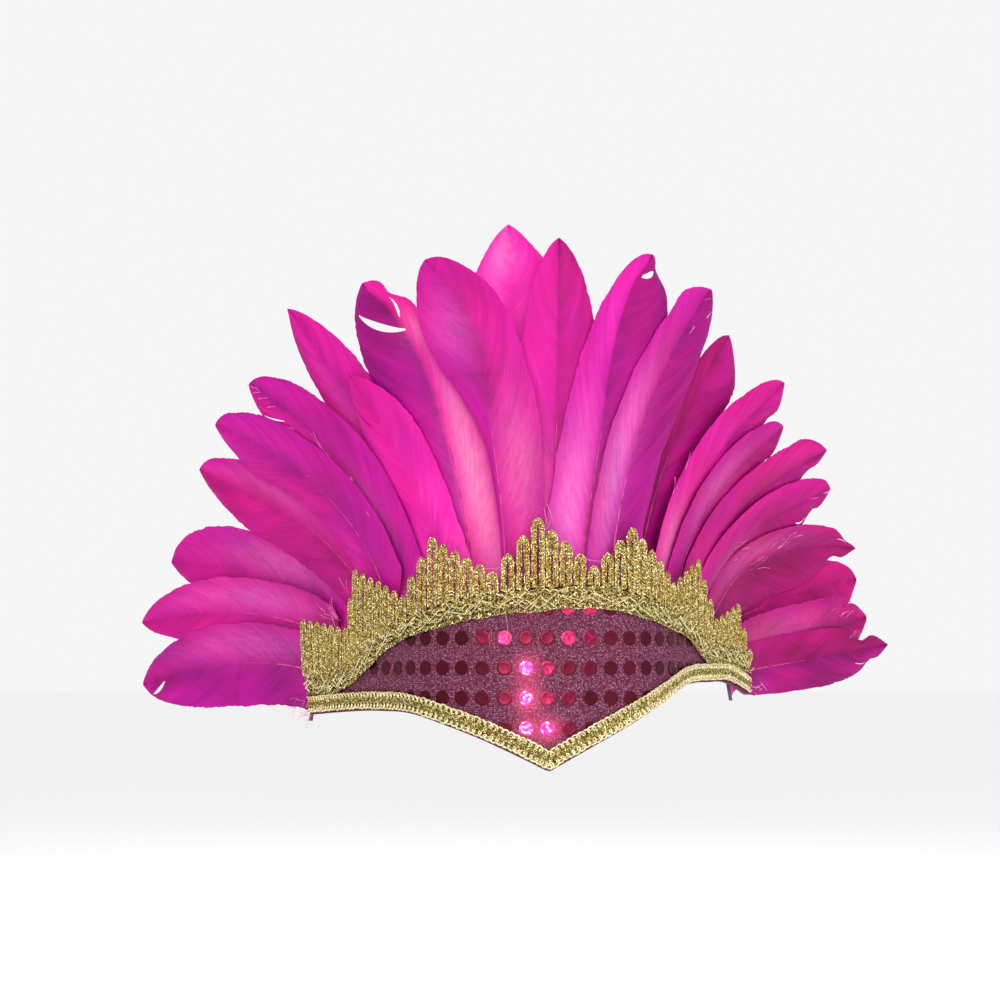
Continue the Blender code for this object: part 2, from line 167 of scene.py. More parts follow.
def add_node(tree, kind, inputs=None, stops=(), **settings):
    """Adds a shader node with its inputs and settings; stops fill a colour ramp."""
    made = tree.nodes.new("ShaderNode" + kind)
    for name, value in settings.items():
        setattr(made, name, value)
    wire(made, inputs or {})
    for index, (position, code) in enumerate(stops):
        elements = made.color_ramp.elements
        stop = elements[index] if index < len(elements) else elements.new(position)
        stop.position = position
        stop.color = linear(code)
    return made


def new_finish(name, **values):
    """A material, the function that adds its nodes, and its shader, set to the values."""
    material = bpy.data.materials.new(name)
    material.use_nodes = True
    shader = material.node_tree.nodes["Principled BSDF"]
    for key, value in values.items():
        shader.inputs[key.replace("_", " ")].default_value = value
    return material, partial(add_node, material.node_tree), shader


def glitter_jersey():
    """Knitted polyester with metallised flecks: soft plum with fine pale points of light."""
    wale = 0.0008       # knitted rows, drawn twice as coarse as real so that they show
    fleck = 0.00062     # spacing of the flecks
    cloud = 0.0011      # patches where the yarn lies denser
    material, add, shader = new_finish("glitter_jersey", Roughness=0.65, Specular_IOR_Level=0.15)
    place = add("UVMap", uv_map="cloth").outputs["UV"]
    # painted glints: chosen fleck cells are mixed to pale pink in the cloth's colour, standing for light
    # caught by the metallised flecks
    cells = add("TexVoronoi", {"Vector": place, "Scale": 1 / fleck}, voronoi_dimensions="2D")
    chance = add("SeparateColor", {"Color": cells.outputs["Color"]})
    chosen = add("MapRange", {"Value": chance.outputs[0], "From Min": 0.55, "From Max": 1.0,
                              "To Max": 0.50})
    near = add("MapRange", {"Value": cells.outputs["Distance"], "From Min": 0.45, "From Max": 0.10})
    spark = add("Math", {0: chosen, 1: near}, operation="MULTIPLY")
    knit = add("TexWave", {"Vector": place, "Scale": math.pi / 10 / wale, "Distortion": 3.0,
                           "Detail": 2.0, "Detail Scale": 3.0}, bands_direction="Y")
    mottle = add("TexNoise", {"Vector": place, "Scale": 1 / cloud, "Detail": 4.0, "Roughness": 0.75},
                 noise_dimensions="2D")
    blend = add("ValToRGB", {"Fac": mottle}, stops=((0.30, "#3C0E24"), (0.50, "#5A1F3A"),
                                                    (0.70, "#7E3C5C")))
    ribs = add("Mix", {0: 0.30, 6: blend, 7: knit.outputs["Color"]}, data_type="RGBA",
               blend_type="OVERLAY")
    glow = add("Attribute", attribute_name="glow")
    lit = add("Mix", {0: glow.outputs["Fac"], 6: ribs, 7: linear("#E8487E")}, data_type="RGBA")
    colour = add("Mix", {0: spark, 6: lit, 7: linear("#F0BCCC")}, data_type="RGBA")
    bump = add("Bump", {"Height": knit.outputs["Fac"], "Strength": 0.25, "Distance": 0.0003})
    wire(shader, {"Base Color": colour, "Normal": bump})
    return material


def felt_lining():
    """Needled polyester felt glued over the turned-in edges: matt and slightly clouded."""
    clump = 0.0015      # needled bunches of fibre
    material, add, shader = new_finish("felt_lining", Roughness=0.9, Specular_IOR_Level=0.2)
    place = add("TexCoord").outputs["Object"]
    fibre = add("TexNoise", {"Vector": place, "Scale": 1 / clump, "Detail": 5.0, "Roughness": 0.75})
    colour = add("ValToRGB", {"Fac": fibre}, stops=((0.35, "#3A1226"), (0.65, "#5E2844")))
    bump = add("Bump", {"Height": fibre, "Strength": 0.5, "Distance": 0.0004})
    wire(shader, {"Base Color": colour, "Normal": bump})
    return material


def add_grid(name, columns, rows):
    """A flat grid; gives the object and its vertices' two shares, each from -1 to 1."""
    bpy.ops.object.select_all(action="DESELECT")
    bpy.ops.mesh.primitive_grid_add(x_subdivisions=columns, y_subdivisions=rows, size=2)
    made = bpy.context.object
    made.name = name
    made.data.name = name
    shares = np.empty(len(made.data.vertices) * 3)
    made.data.vertices.foreach_get("co", shares)
    shares = shares.reshape(-1, 3)
    return made, shares[:, 0], shares[:, 1]


def set_points(item, points):
    """Moves an object's vertices to places given in their order."""
    item.data.vertices.foreach_set("co", np.asarray(points, float).ravel())
    item.data.update()


def set_map(item, name, across, up):
    """Writes a UV map in metres from one pair of numbers a vertex."""
    for layer in list(item.data.uv_layers):
        item.data.uv_layers.remove(layer)
    layer = item.data.uv_layers.new(name=name)
    corner = np.empty(len(item.data.loops), int)
    item.data.loops.foreach_get("vertex_index", corner)
    layer.data.foreach_set("uv", np.stack([across[corner], up[corner]], axis=1).ravel())


def set_value(item, name, values):
    """Writes one number a vertex, which a material reads by its name."""
    layer = item.data.attributes.new(name, "FLOAT", "POINT")
    layer.data.foreach_set("value", np.asarray(values, np.float32))


def pick(*items):
    """Selects these objects alone; the first is active."""
    bpy.ops.object.select_all(action="DESELECT")
    for item in items:
        item.select_set(True)
    bpy.context.view_layer.objects.active = items[0]


def apply_modifier(item, kind, **settings):
    """Gives an object a modifier with its settings, and applies it."""
    pick(item)
    step = item.modifiers.new(kind.lower(), kind)
    for name, value in settings.items():
        setattr(step, name, value)
    bpy.ops.object.modifier_apply(modifier=step.name)


def smooth(item, degrees=50.0):
    """Shades an object smooth where its faces meet at less than an angle."""
    pick(item)
    bpy.ops.object.shade_smooth_by_angle(angle=math.radians(degrees))


# where the flash lights the cloth: along, height, power
LIT_SPOTS = ((-0.0070, 0.0, 0.75), (-0.0070, -0.012, 1.0), (0.0015, -0.0245, 0.8),
             (-0.0070, -0.0245, 0.6))
GLOW_REACH = 0.0052
GLOW_POWER = 0.74
GLOW_LIMIT = 0.80
cloth, side, rise = add_grid("forehead_panel", PANEL_COLUMNS, PANEL_ROWS)
along = side * BAND_HALF
low = lower_edge(along)
high = lace_foot(along) + PANEL_MARGIN
height = low + (rise + 1) / 2 * (high - low)
set_points(cloth, wrap(along + end_lean(along, height), height, -PANEL_THICKNESS / 2))
set_map(cloth, "cloth", along, height)
glow = sum(power * np.exp(-((along - x) ** 2 + (height - z) ** 2) / GLOW_REACH**2)
           for x, z, power in LIT_SPOTS)
set_value(cloth, "glow", np.clip(glow * GLOW_POWER, 0.0, GLOW_LIMIT))
cloth.data.materials.append(glitter_jersey())
cloth.data.materials.append(felt_lining())
apply_modifier(cloth, "SOLIDIFY", thickness=PANEL_THICKNESS, offset=0.0, material_offset=1)
smooth(cloth)
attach(cloth, "root")
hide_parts("front_panel")

# Sequins
# Flat discs punched from metallised polyester film, about 6 mm across, in straight rows. Each
# is held to the jersey by a stitch through its middle; the film is crinkled, and its glitter is
# painted light: the sequins listed as facing the light get pink colour, pale glints and a glow.
SEQUIN_DIAMETER = 0.0058
SEQUIN_THICKNESS = 0.00015
SEQUIN_LIFT = 0.00014
SEQUIN_PITCH = 0.0085
SEQUIN_ROW_PITCH = 0.0120
SEQUIN_OFFSET = 0.0010
SEQUIN_COLUMNS = range(-16, 17)
SEQUIN_ROWS = range(-4, 3)
SEQUIN_SIDES = 28
SEQUIN_TUCK = 0.002     # how far its middle may lie under a trim
SEQUIN_RINGS = (0.06, 0.10, 0.24)   # rim, slope and cup, as shares of the diameter
RIM_HEIGHT = 0.00012
CUP_DEPTH = 0.00010
DULL_SEQUIN = 0.06      # greatest brightness of a sequin off the light
# brightness of the sequins that face the light: column, row, share
BRIGHT_SEQUINS = {(-1, 0): 0.9, (0, 0): 0.36, (-2, 0): 0.18, (-2, 1): 0.56, (-3, 1): 0.26, (1, 1): 0.48,
                  (2, 1): 0.3, (3, 1): 0.08, (-1, -1): 0.88, (0, -1): 0.34, (-2, -1): 0.18, (-1, -2): 0.8,
                  (0, -2): 0.84, (1, -1): 0.2, (1, 0): 0.12, (2, 0): 0.14, (1, -2): 0.22, (1, 2): 0.42,
                  (2, 2): 0.5, (-1, 2): 0.3, (-1, 1): 0.18, (0, 1): 0.14}


def sequin_film():
    """Metallised film under dark red lacquer: nearly black off the light, hot pink in it."""
    crinkle = 0.0010
    material, add, shader = new_finish("sequin_film", Metallic=0.92, Roughness=0.34)
    place = add("UVMap", uv_map="film").outputs["UV"]
    cells = add("TexVoronoi", {"Vector": place, "Scale": 1 / crinkle}, voronoi_dimensions="2D")
    parts = add("SeparateColor", {"Color": cells.outputs["Color"]})
    bright = add("Attribute", attribute_name="bright").outputs["Fac"]
    facet = add("Math", {0: parts.outputs[0], 1: bright}, operation="MULTIPLY")
    # painted glints: pale lilac on facets of the sequins listed as facing the light
    glint = add("MapRange", {"Value": facet, "From Min": 0.50, "From Max": 0.90})
    shade = add("MapRange", {"Value": parts.outputs[1], "To Min": -0.32, "To Max": 0.32})
    uneven = add("Math", {0: shade, 1: bright, 2: bright}, operation="MULTIPLY_ADD")
    base = add("ValToRGB", {"Fac": uneven}, stops=((0.0, "#4A101C"), (0.25, "#6E1832"), (0.6, "#C83062"),
                                                   (1.0, "#EC3C98")))
    colour = add("Mix", {0: glint, 6: base, 7: linear("#E8B4FF")}, data_type="RGBA")
    # painted glow: emission from the sequins that face the light, though they are no lamp
    power = add("Math", {0: bright, 1: 2.0}, operation="POWER")
    half = add("Math", {0: power, 1: 0.40}, operation="MULTIPLY")
    bump = add("Bump", {"Height": parts.outputs[2], "Strength": 0.35, "Distance": 0.0002})
    wire(shader, {"Base Color": colour, "Emission Color": colour, "Emission Strength": half,
                  "Normal": bump})
    return material


def punched_disc():
    """A shallow cup with a rolled rim, lying flat; gives its mesh object."""
    rim, slope, cup = (share * SEQUIN_DIAMETER for share in SEQUIN_RINGS)
    bpy.ops.object.select_all(action="DESELECT")
    bpy.ops.mesh.primitive_circle_add(vertices=SEQUIN_SIDES, radius=SEQUIN_DIAMETER / 2, fill_type="NGON")
    made = bpy.context.object
    bpy.ops.object.mode_set(mode="EDIT")
    bpy.ops.mesh.select_all(action="SELECT")
    bpy.ops.mesh.inset(thickness=rim)
    bpy.ops.transform.translate(value=(0.0, 0.0, RIM_HEIGHT))
    bpy.ops.mesh.inset(thickness=slope)
    bpy.ops.transform.translate(value=(0.0, 0.0, -CUP_DEPTH))
    bpy.ops.mesh.inset(thickness=cup)
    bpy.ops.object.mode_set(mode="OBJECT")
    return made


def sew_sequin(pattern, along, height, turn):
    """A copy of the disc, with its own mesh, set flat on the cloth."""
    made = pattern.copy()
    made.data = pattern.data.copy()
    bpy.context.scene.collection.objects.link(made)
    shape = np.array([vertex.co for vertex in made.data.vertices])
    across = shape[:, 0] * math.cos(turn) - shape[:, 1] * math.sin(turn)
    up = shape[:, 0] * math.sin(turn) + shape[:, 1] * math.cos(turn)
    depth = -PANEL_THICKNESS - SEQUIN_LIFT - shape[:, 2]
    set_points(made, wrap(along + end_lean(along, height) + across, height + up, depth))
    set_map(made, "film", along + across, height + up)
    return made


film = sequin_film()
pattern = punched_disc()
turns = random.Random(4)
discs = []
for column in SEQUIN_COLUMNS:
    for row in SEQUIN_ROWS:
        x = SEQUIN_OFFSET + column * SEQUIN_PITCH
        z = row * SEQUIN_ROW_PITCH
        if not braid_edges(x)[1] - SEQUIN_TUCK < z < lace_foot(x) + SEQUIN_TUCK:
            continue
        disc = sew_sequin(pattern, x, z, turns.uniform(0.0, 1.0))
        power = BRIGHT_SEQUINS.get((column, row), turns.uniform(0.0, DULL_SEQUIN))
        set_value(disc, "bright", np.full(len(disc.data.vertices), power))
        discs.append(disc)
bpy.data.objects.remove(pattern)
pick(*discs)
bpy.ops.object.join()
sequins = bpy.context.object
sequins.name = "sequins"
apply_modifier(sequins, "SOLIDIFY", thickness=SEQUIN_THICKNESS, offset=1.0)
bpy.ops.object.origin_set(type="ORIGIN_CURSOR")
smooth(sequins, 30.0)
sequins.data.materials.append(film)
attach(sequins, "root")

# Peak lace
# Gold crochet lace, chained on a warp knitting machine from metallised yarn. It stands in seven
# stepped peaks, each a row of loops, and its foot is sewn under the heading.
LACE_PEAK = 0.0607
LACE_ZIGZAG = ((-1.00, 0.37), (-0.75, 0.29), (-0.70, 0.71), (-0.45, 0.50), (-0.33, 0.88),
               (-0.15, 0.64), (-0.02, 1.00), (0.14, 0.68), (0.26, 0.95), (0.44, 0.59),
               (0.61, 0.78), (0.74, 0.36), (0.91, 0.49), (1.00, 0.12))
LOOP_PITCH = 0.0055
LOOP_LEAST = 0.0045     # least height of a loop above its foot
LOOP_SHOULDER = 0.0030  # below its top, where its sides start to close
LOOP_CROWN = 0.0014
LOOP_WINDOW = 0.0022    # below its top, where the threads between its sides end
LOOP_UNEVEN = 0.45
LACE_TUCK = 0.0020      # how far the lace's foot goes under the heading
LACE_SHAKE = 0.0002
TRIM_DEPTH = -PANEL_THICKNESS - 0.0008
CHAIN_DEPTH = TRIM_DEPTH - 0.0007
CORE_DEPTH = TRIM_DEPTH - 0.0004
TIE_DEPTH = TRIM_DEPTH - 0.0003
CHAIN_PITCH = 0.00130
CHAIN_REACH = 0.00102
CHAIN_YARN = 0.00030
CHAIN_STEPS = 6
PLY_SPREAD = 0.00030
CORE_TWIST = 0.0021
LEG_TWIST = 0.0018
LEG_RISE = 0.0016       # least height of the open strip above the foot
BARE_STRIP = 0.0013     # how much higher that strip is in the middle
BARE_START = 0.34
BARE_RUN = 0.24
TIE_PITCH = 0.00090
TIE_SHAKE = 0.0003
TIE_YARN = 0.00027
LEG_YARN = 0.00024


def gold_yarn(name, mid, dark, light, roughness):
    """Viscose core wrapped with gold film: painted glints, pale points at random, for where the film turns
    to the light.
    """
    turn = 0.0007       # one turn of the film
    glint = 0.0009      # spacing of its brightest points
    material, add, shader = new_finish(name, Metallic=0.70, Roughness=roughness)
    place = add("TexCoord").outputs["Object"]
    grain = add("TexNoise", {"Vector": place, "Scale": 1 / turn, "Detail": 3.0, "Roughness": 0.8})
    # painted shade and highlight: the dark and light stops along the film's turns
    colour = add("ValToRGB", {"Fac": grain}, stops=((0.38, dark), (0.50, mid), (0.62, light)))
    # painted glints: pale spots in randomly chosen cells
    cells = add("TexVoronoi", {"Vector": place, "Scale": 1 / glint})
    chance = add("SeparateColor", {"Color": cells.outputs["Color"]})
    chosen = add("Math", {0: chance.outputs[0], 1: 0.45}, operation="GREATER_THAN")
    near = add("MapRange", {"Value": cells.outputs["Distance"], "From Min": 0.50, "From Max": 0.30})
    spot = add("Math", {0: chosen, 1: near}, operation="MULTIPLY")
    final = add("Mix", {0: spot, 6: colour, 7: linear("#FFF8C8")}, data_type="RGBA")
    bump = add("Bump", {"Height": grain, "Strength": 0.8, "Distance": 0.0003})
    wire(shader, {"Base Color": final, "Normal": bump})
    return material


def spaced(line, step):
    """Points at even steps along a flat line, with the line's unit normals."""
    line = np.asarray(line, float)
    lengths = np.r_[0.0, np.cumsum(np.linalg.norm(np.diff(line, axis=0), axis=1))]
    count = max(int(round(lengths[-1] / step)), 2)
    run = np.linspace(0.0, lengths[-1], count + 1)
    points = np.stack([np.interp(run, lengths, line[:, 0]), np.interp(run, lengths, line[:, 1])], axis=1)
    heading = np.gradient(points, axis=0)
    heading /= np.linalg.norm(heading, axis=1)[:, None] + 1e-12
    return run, points, np.stack([-heading[:, 1], heading[:, 0]], axis=1)


def plied(line, depth, spread, pitch, steps=5):
    """Two strands twisted round a flat line, each a list of flat places with their depth."""
    run, points, normals = spaced(line, pitch / steps)
    strands = []
    for ply in range(2):
        phase = 2 * math.pi * (run / pitch + ply / 2)
        across = normals * (spread * np.sin(phase))[:, None]
        strands.append(np.c_[points + across, depth - spread * 0.8 * np.cos(phase)])
    return strands


def field(seed, *parts):
    """Smooth noise from -1 to 1 at many places."""
    return np.array([noise.noise(Vector((*spot, seed))) for spot in zip(*parts)])


def looped(line, depth, reach, pitch, way=1.0, steps=CHAIN_STEPS, lift=0.0003):
    """One yarn thrown into a loop at every pitch along a flat line."""
    run, points, normals = spaced(line, pitch / steps)
    uneven = field(points[0, 0] * 900, run * 400, run * 0)
    reach = reach * (1 + LOOP_UNEVEN * uneven)
    angle = 2 * math.pi * run / pitch + 0.6 * uneven
    tangents = np.stack([normals[:, 1], -normals[:, 0]], axis=1)
    ring = points + tangents * (reach * np.sin(angle))[:, None]
    ring += normals * (way * reach * np.cos(angle))[:, None]
    return np.c_[ring, depth - lift * np.sin(angle + 0.8)]


def add_cords(name, lines, radius, roundness, taper=None):
    """A curve along each line of places, thick all round; roundness 0 gives four sides."""
    data = bpy.data.curves.new(name, "CURVE")
    data.dimensions = "3D"
    data.bevel_depth = radius
    data.bevel_resolution = roundness
    data.use_fill_caps = True
    for line in lines:
        spline = data.splines.new("POLY")
        spline.points.add(len(line) - 1)
        spline.points.foreach_set("co", np.c_[line, np.ones(len(line))].ravel())
        if taper is not None:
            spline.points.foreach_set("radius", taper)
    made = bpy.data.objects.new(name, data)
    bpy.context.scene.collection.objects.link(made)
    return made


def spun(name, groups, material):
    """One mesh of many threads. groups are (strands, radius, roundness)."""
    parts = []
    for strands, radius, roundness in groups:
        lines = []
        for along, height, depth in [strand.T for strand in strands]:
            lines.append(wrap(along + end_lean(along, height), height, depth))
        parts.append(add_cords(name, lines, radius, roundness))
    pick(*parts)
    bpy.ops.object.convert(target="MESH")
    if len(parts) > 1:
        bpy.ops.object.join()
    made = bpy.context.object
    made.name = name
    made.data.name = name
    made.data.materials.clear()
    made.data.materials.append(material)
    smooth(made, 70.0)
    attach(made, "root")
    return made


def lace_loops():
    """Middle and height of each loop: one on every tip and dip, the rest stepped between."""
    points = [(place * BAND_HALF, share * LACE_PEAK) for place, share in LACE_ZIGZAG]
    loops = []
    for (start, low), (stop, high) in zip(points, points[1:]):
        count = max(round((stop - start) / LOOP_PITCH), 2)
        for step in range(count):
            share = step / count
            loops.append((start + (stop - start) * share, low + (high - low) * share))
    return loops + [points[-1]]


def shaken(count, reach):
    """Random shifts for count points, up to reach either way."""
    return np.array([shake.uniform(-reach, reach) for point in range(count)])


loops = lace_loops()
chains = []
legs = []
ties = []
shake = random.Random(11)
for index, (middle, top) in enumerate(loops):
    before = loops[max(index - 1, 0)][0]
    after = loops[min(index + 1, len(loops) - 1)][0]
    bow = (after - before) / (8 if 0 < index < len(loops) - 1 else 4)
    foot = float(lace_foot(middle)) + HEADING_HEIGHT - LACE_TUCK
    top = max(top, foot + LOOP_LEAST) - CHAIN_REACH
    bare = BARE_STRIP * float(1 - ease((abs(middle) / BAND_HALF - BARE_START) / BARE_RUN))
    clear = min(foot + LEG_RISE + bare, top - LOOP_WINDOW)
    shoulder = top - LOOP_SHOULDER
    crown = top - LOOP_CROWN
    arch = [(-1.0, clear), (-1.0, shoulder), (-0.75, crown), (0.0, top), (0.75, crown),
            (1.0, shoulder), (1.0, clear)]
    arch = [(middle + bow * out + shake.uniform(-LACE_SHAKE, LACE_SHAKE), z) for out, z in arch]
    chains.append(looped(arch, CHAIN_DEPTH, CHAIN_REACH, CHAIN_PITCH, lift=0.00035))
    chains += plied(arch, CORE_DEPTH, PLY_SPREAD, CORE_TWIST, 4)
    for out in (-bow, -bow / 2, bow / 2, bow):
        leg = [(middle + out, foot), (middle + out * 0.3, (foot + clear) / 2 + 0.0006),
               (middle + out * 0.9, clear + 0.0007)]
        legs += plied(leg, TIE_DEPTH, PLY_SPREAD, LEG_TWIST)
    spans = [(middle, bow, top - LOOP_WINDOW)]
    if index:
        left, left_top = loops[index - 1]
        spans.append(((middle + left) / 2, (middle - left) / 2 - bow, min(top, left_top) - 0.0012))
    for centre, reach, limit in spans:
        levels = np.arange(clear + 0.0006, limit, TIE_PITCH)
        if len(levels) < 3:
            continue
        for way in (-1.0, 1.0):
            swing = np.where(np.arange(len(levels)) % 2, way, -way) * (abs(reach) + TIE_SHAKE)
            swing += shaken(len(levels), TIE_SHAKE)
            ties.append(np.c_[centre + swing, levels, np.full(len(levels), TIE_DEPTH + 0.0002 * way)])
lace_yarn = gold_yarn("gold_crochet_yarn", "#AE9238", "#48340C", "#E6D284", 0.38)
lace = spun("crochet_lace", [(chains, CHAIN_YARN, 0), (ties, TIE_YARN, 0), (legs, LEG_YARN, 0)], lace_yarn)
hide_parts("peak_lace")

# Lace heading
# The dense band at the lace's foot: chained rows, and over them bright flat filament in two
# loose zigzags and many short strokes. It is machine-sewn to the panel over the lace.
HEADING_ROWS = 4
HEADING_PITCH = 0.0019
HEADING_REACH = 0.00105
HEADING_YARN = 0.00030
HEADING_WAVE = 0.0007
# the zigzags: phase, swing as a share of the heading's height, pitch
ZIGZAGS = ((0.0, 0.28, 0.0150), (0.5, 0.26, 0.0110))
STROKES = 150
STROKE_HALF = (0.0009, 0.0024)
STROKE_LEAN = (12.0, 48.0)
STROKE_RISE = (0.12, 0.92)
FILAMENT_YARN = 0.00032
band = np.linspace(-BAND_HALF, BAND_HALF, 240)
foot_line = lace_foot(band)
rows = []
for row in range(HEADING_ROWS):
    level = foot_line + HEADING_HEIGHT * (row + 0.55) / HEADING_ROWS
    level = level + HEADING_WAVE * field(row * 3.7, band * 110, band * 0)
    line = np.c_[band, level]
    way = 1.0 if row % 2 else -1.0
    rows.append(looped(line, TRIM_DEPTH - 0.0006, HEADING_REACH, HEADING_PITCH, way, lift=0.0005))
    rows += plied(line, TRIM_DEPTH - 0.0003, 0.0005, 0.0026)
laid = []
for phase, reach, pitch in ZIGZAGS:
    count = int(2 * BAND_HALF / (pitch / 2)) + 1
    xs = np.arange(count) * pitch / 2 - BAND_HALF + phase * pitch / 2
    xs = np.clip(xs + shaken(count, 0.0020), -BAND_HALF, BAND_HALF)
    swing = np.where(np.arange(count) % 2, reach, -reach) * (1.0 if phase < 0.5 else -1.0)
    level = lace_foot(xs) + HEADING_HEIGHT * (0.52 + (swing + shaken(count, 0.12)))
    laid.append(np.c_[xs, level, np.full(count, TRIM_DEPTH - 0.0019 + 0.0003 * phase)])
for stroke in range(STROKES):
    x = (stroke + 0.5) / STROKES * 2 * BAND_HALF - BAND_HALF + shake.uniform(-0.0015, 0.0015)
    z = float(lace_foot(x)) + HEADING_HEIGHT * shake.uniform(*STROKE_RISE)
    lean = math.radians(shake.choice((-1, 1)) * shake.uniform(*STROKE_LEAN))
    half = shake.uniform(*STROKE_HALF)
    ends = [(x + way * half * math.cos(lean), z + way * half * math.sin(lean)) for way in (-1, 0, 1)]
    laid.append(np.c_[np.array(ends), TRIM_DEPTH - 0.0017 - 0.0003 * np.array([0, 1, 0])])
# painted shade: the base rows' near-black stop stands for shade in the gaps between them; the filament's
# pale gold is its own colour with painted highlight in it
heading = spun("lace_heading_base", [(rows, HEADING_YARN, 0)],
               gold_yarn("gold_heading_yarn", "#8E7A30", "#241C06", "#E4D488", 0.36))
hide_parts("lace_heading")
filament = spun("lace_heading_filament", [(laid, FILAMENT_YARN, 0)],
                gold_yarn("flat_gold_filament", "#DCCA7E", "#84702C", "#FFF8D4", 0.26))
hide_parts("lace_heading")

# Stray threads
# Ends of the sewing thread: pale polyester hairs, two of them drawn tight between the peaks
# and one lying on the cloth.
STRAY_RADIUS = 0.00008
# along and height of each thread's points, in millimetres
STRAYS = (((-25, 40), (-19, 39.6), (-17, 40.6)), ((16, 43.5), (20, 43), (25, 42.6)),
          ((-15.5, 22), (-14.6, 15), (-15.6, 10)))
strays = []
for line in STRAYS:
    line = np.array(line) * 0.001
    strays.append(np.c_[line, np.full(len(line), TRIM_DEPTH - 0.0012)])
polyester = new_finish("pale_sewing_thread", Roughness=0.5, Base_Color=linear("#C890A4"))[0]
spun("stray_threads", [(strays, STRAY_RADIUS, 0)], polyester)

# Edge braid
# Gimp braid in pale gold: three plied cords under a fine zigzag, with a row of small round
# loops along each edge. It is glued over the raw lower edge of the cloth.
CORD_SHARES = (-0.12, 0.0, 0.12)
GIMP_YARN = 0.00032
GIMP_ZIGZAG = 0.0019
GIMP_SWING = 0.13
PICOT_SHARE = 0.33      # of the braid's width, from its middle line to the loops
PICOT_PITCH = 0.0024
PICOT_REACH = 0.00102
PICOT_YARN = 0.00045
bottom, top = braid_edges(band)
middle_line = (bottom + top) / 2
cords = []
for share in CORD_SHARES:
    line = np.c_[band, middle_line + (top - bottom) * share]
    cords += plied(line, TRIM_DEPTH - 0.0005, 0.00045, 0.0024)
picots = []
for way in (-1.0, 1.0):
    line = np.c_[band, middle_line + (top - bottom) * PICOT_SHARE * way]
    picots.append(looped(line, TRIM_DEPTH - 0.0006, PICOT_REACH, PICOT_PITCH, way, 12))
    cords += plied(line, TRIM_DEPTH - 0.0001, 0.00035, 0.0030)
count = int(2 * BAND_HALF / GIMP_ZIGZAG)
xs = np.linspace(-BAND_HALF, BAND_HALF, count)
low, high = braid_edges(xs)
swing = np.where(np.arange(count) % 2, GIMP_SWING, -GIMP_SWING)
cords.append(np.c_[xs, (low + high) / 2 + (high - low) * swing, np.full(count, TRIM_DEPTH - 0.0013)])
braid = spun("gimp_braid_cords", [(cords, GIMP_YARN, 0)],
             gold_yarn("olive_gold_gimp", "#9C8638", "#44360E", "#DCCA7C", 0.38))
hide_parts("edge_braid")
edging = spun("gimp_braid_picots", [(picots, PICOT_YARN, 1)],
              gold_yarn("pale_gold_gimp", "#DACA92", "#96844A", "#FFF8DA", 0.34))
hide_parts("edge_braid")

# Goose feathers
# Pointed wing and round shoulder feathers of a goose, dyed hot pink. Each is a horny shaft with
# two vanes of hooked barbs; their cut quills are glued behind the panel in layers.
VANE_WIDTH = 0.023
FEATHER_LENGTH = 0.175
QUILL_WIDTH = 0.0026
SHAFT_DEPTH = 0.0002
SHAFT_END = 0.985
SHAFT_POINTS = 60
LAYER_STEP = 0.0023
LAYER_RUN = 0.020
QUILL_FRONT = 0.00045
CLEARANCE = 0.0003
VANE_CAMBER = 0.0006
VANE_FULL = 0.15
TIP_START = 0.60
TIP_FULLNESS = 2.2
VANE_LIFT = 0.0008
VANE_WAVE = 0.0009
VANE_THICKNESS = 0.00025
EDGE_RAGGED = 0.05
NARROW_RUN = 0.42
PAINTED_SATIN_WIDTH = 0.42
CREASE_WIDTH = 0.006
BARB_ROWS = 150
VANE_COLUMNS = 12
BARB_LEAD = 0.245
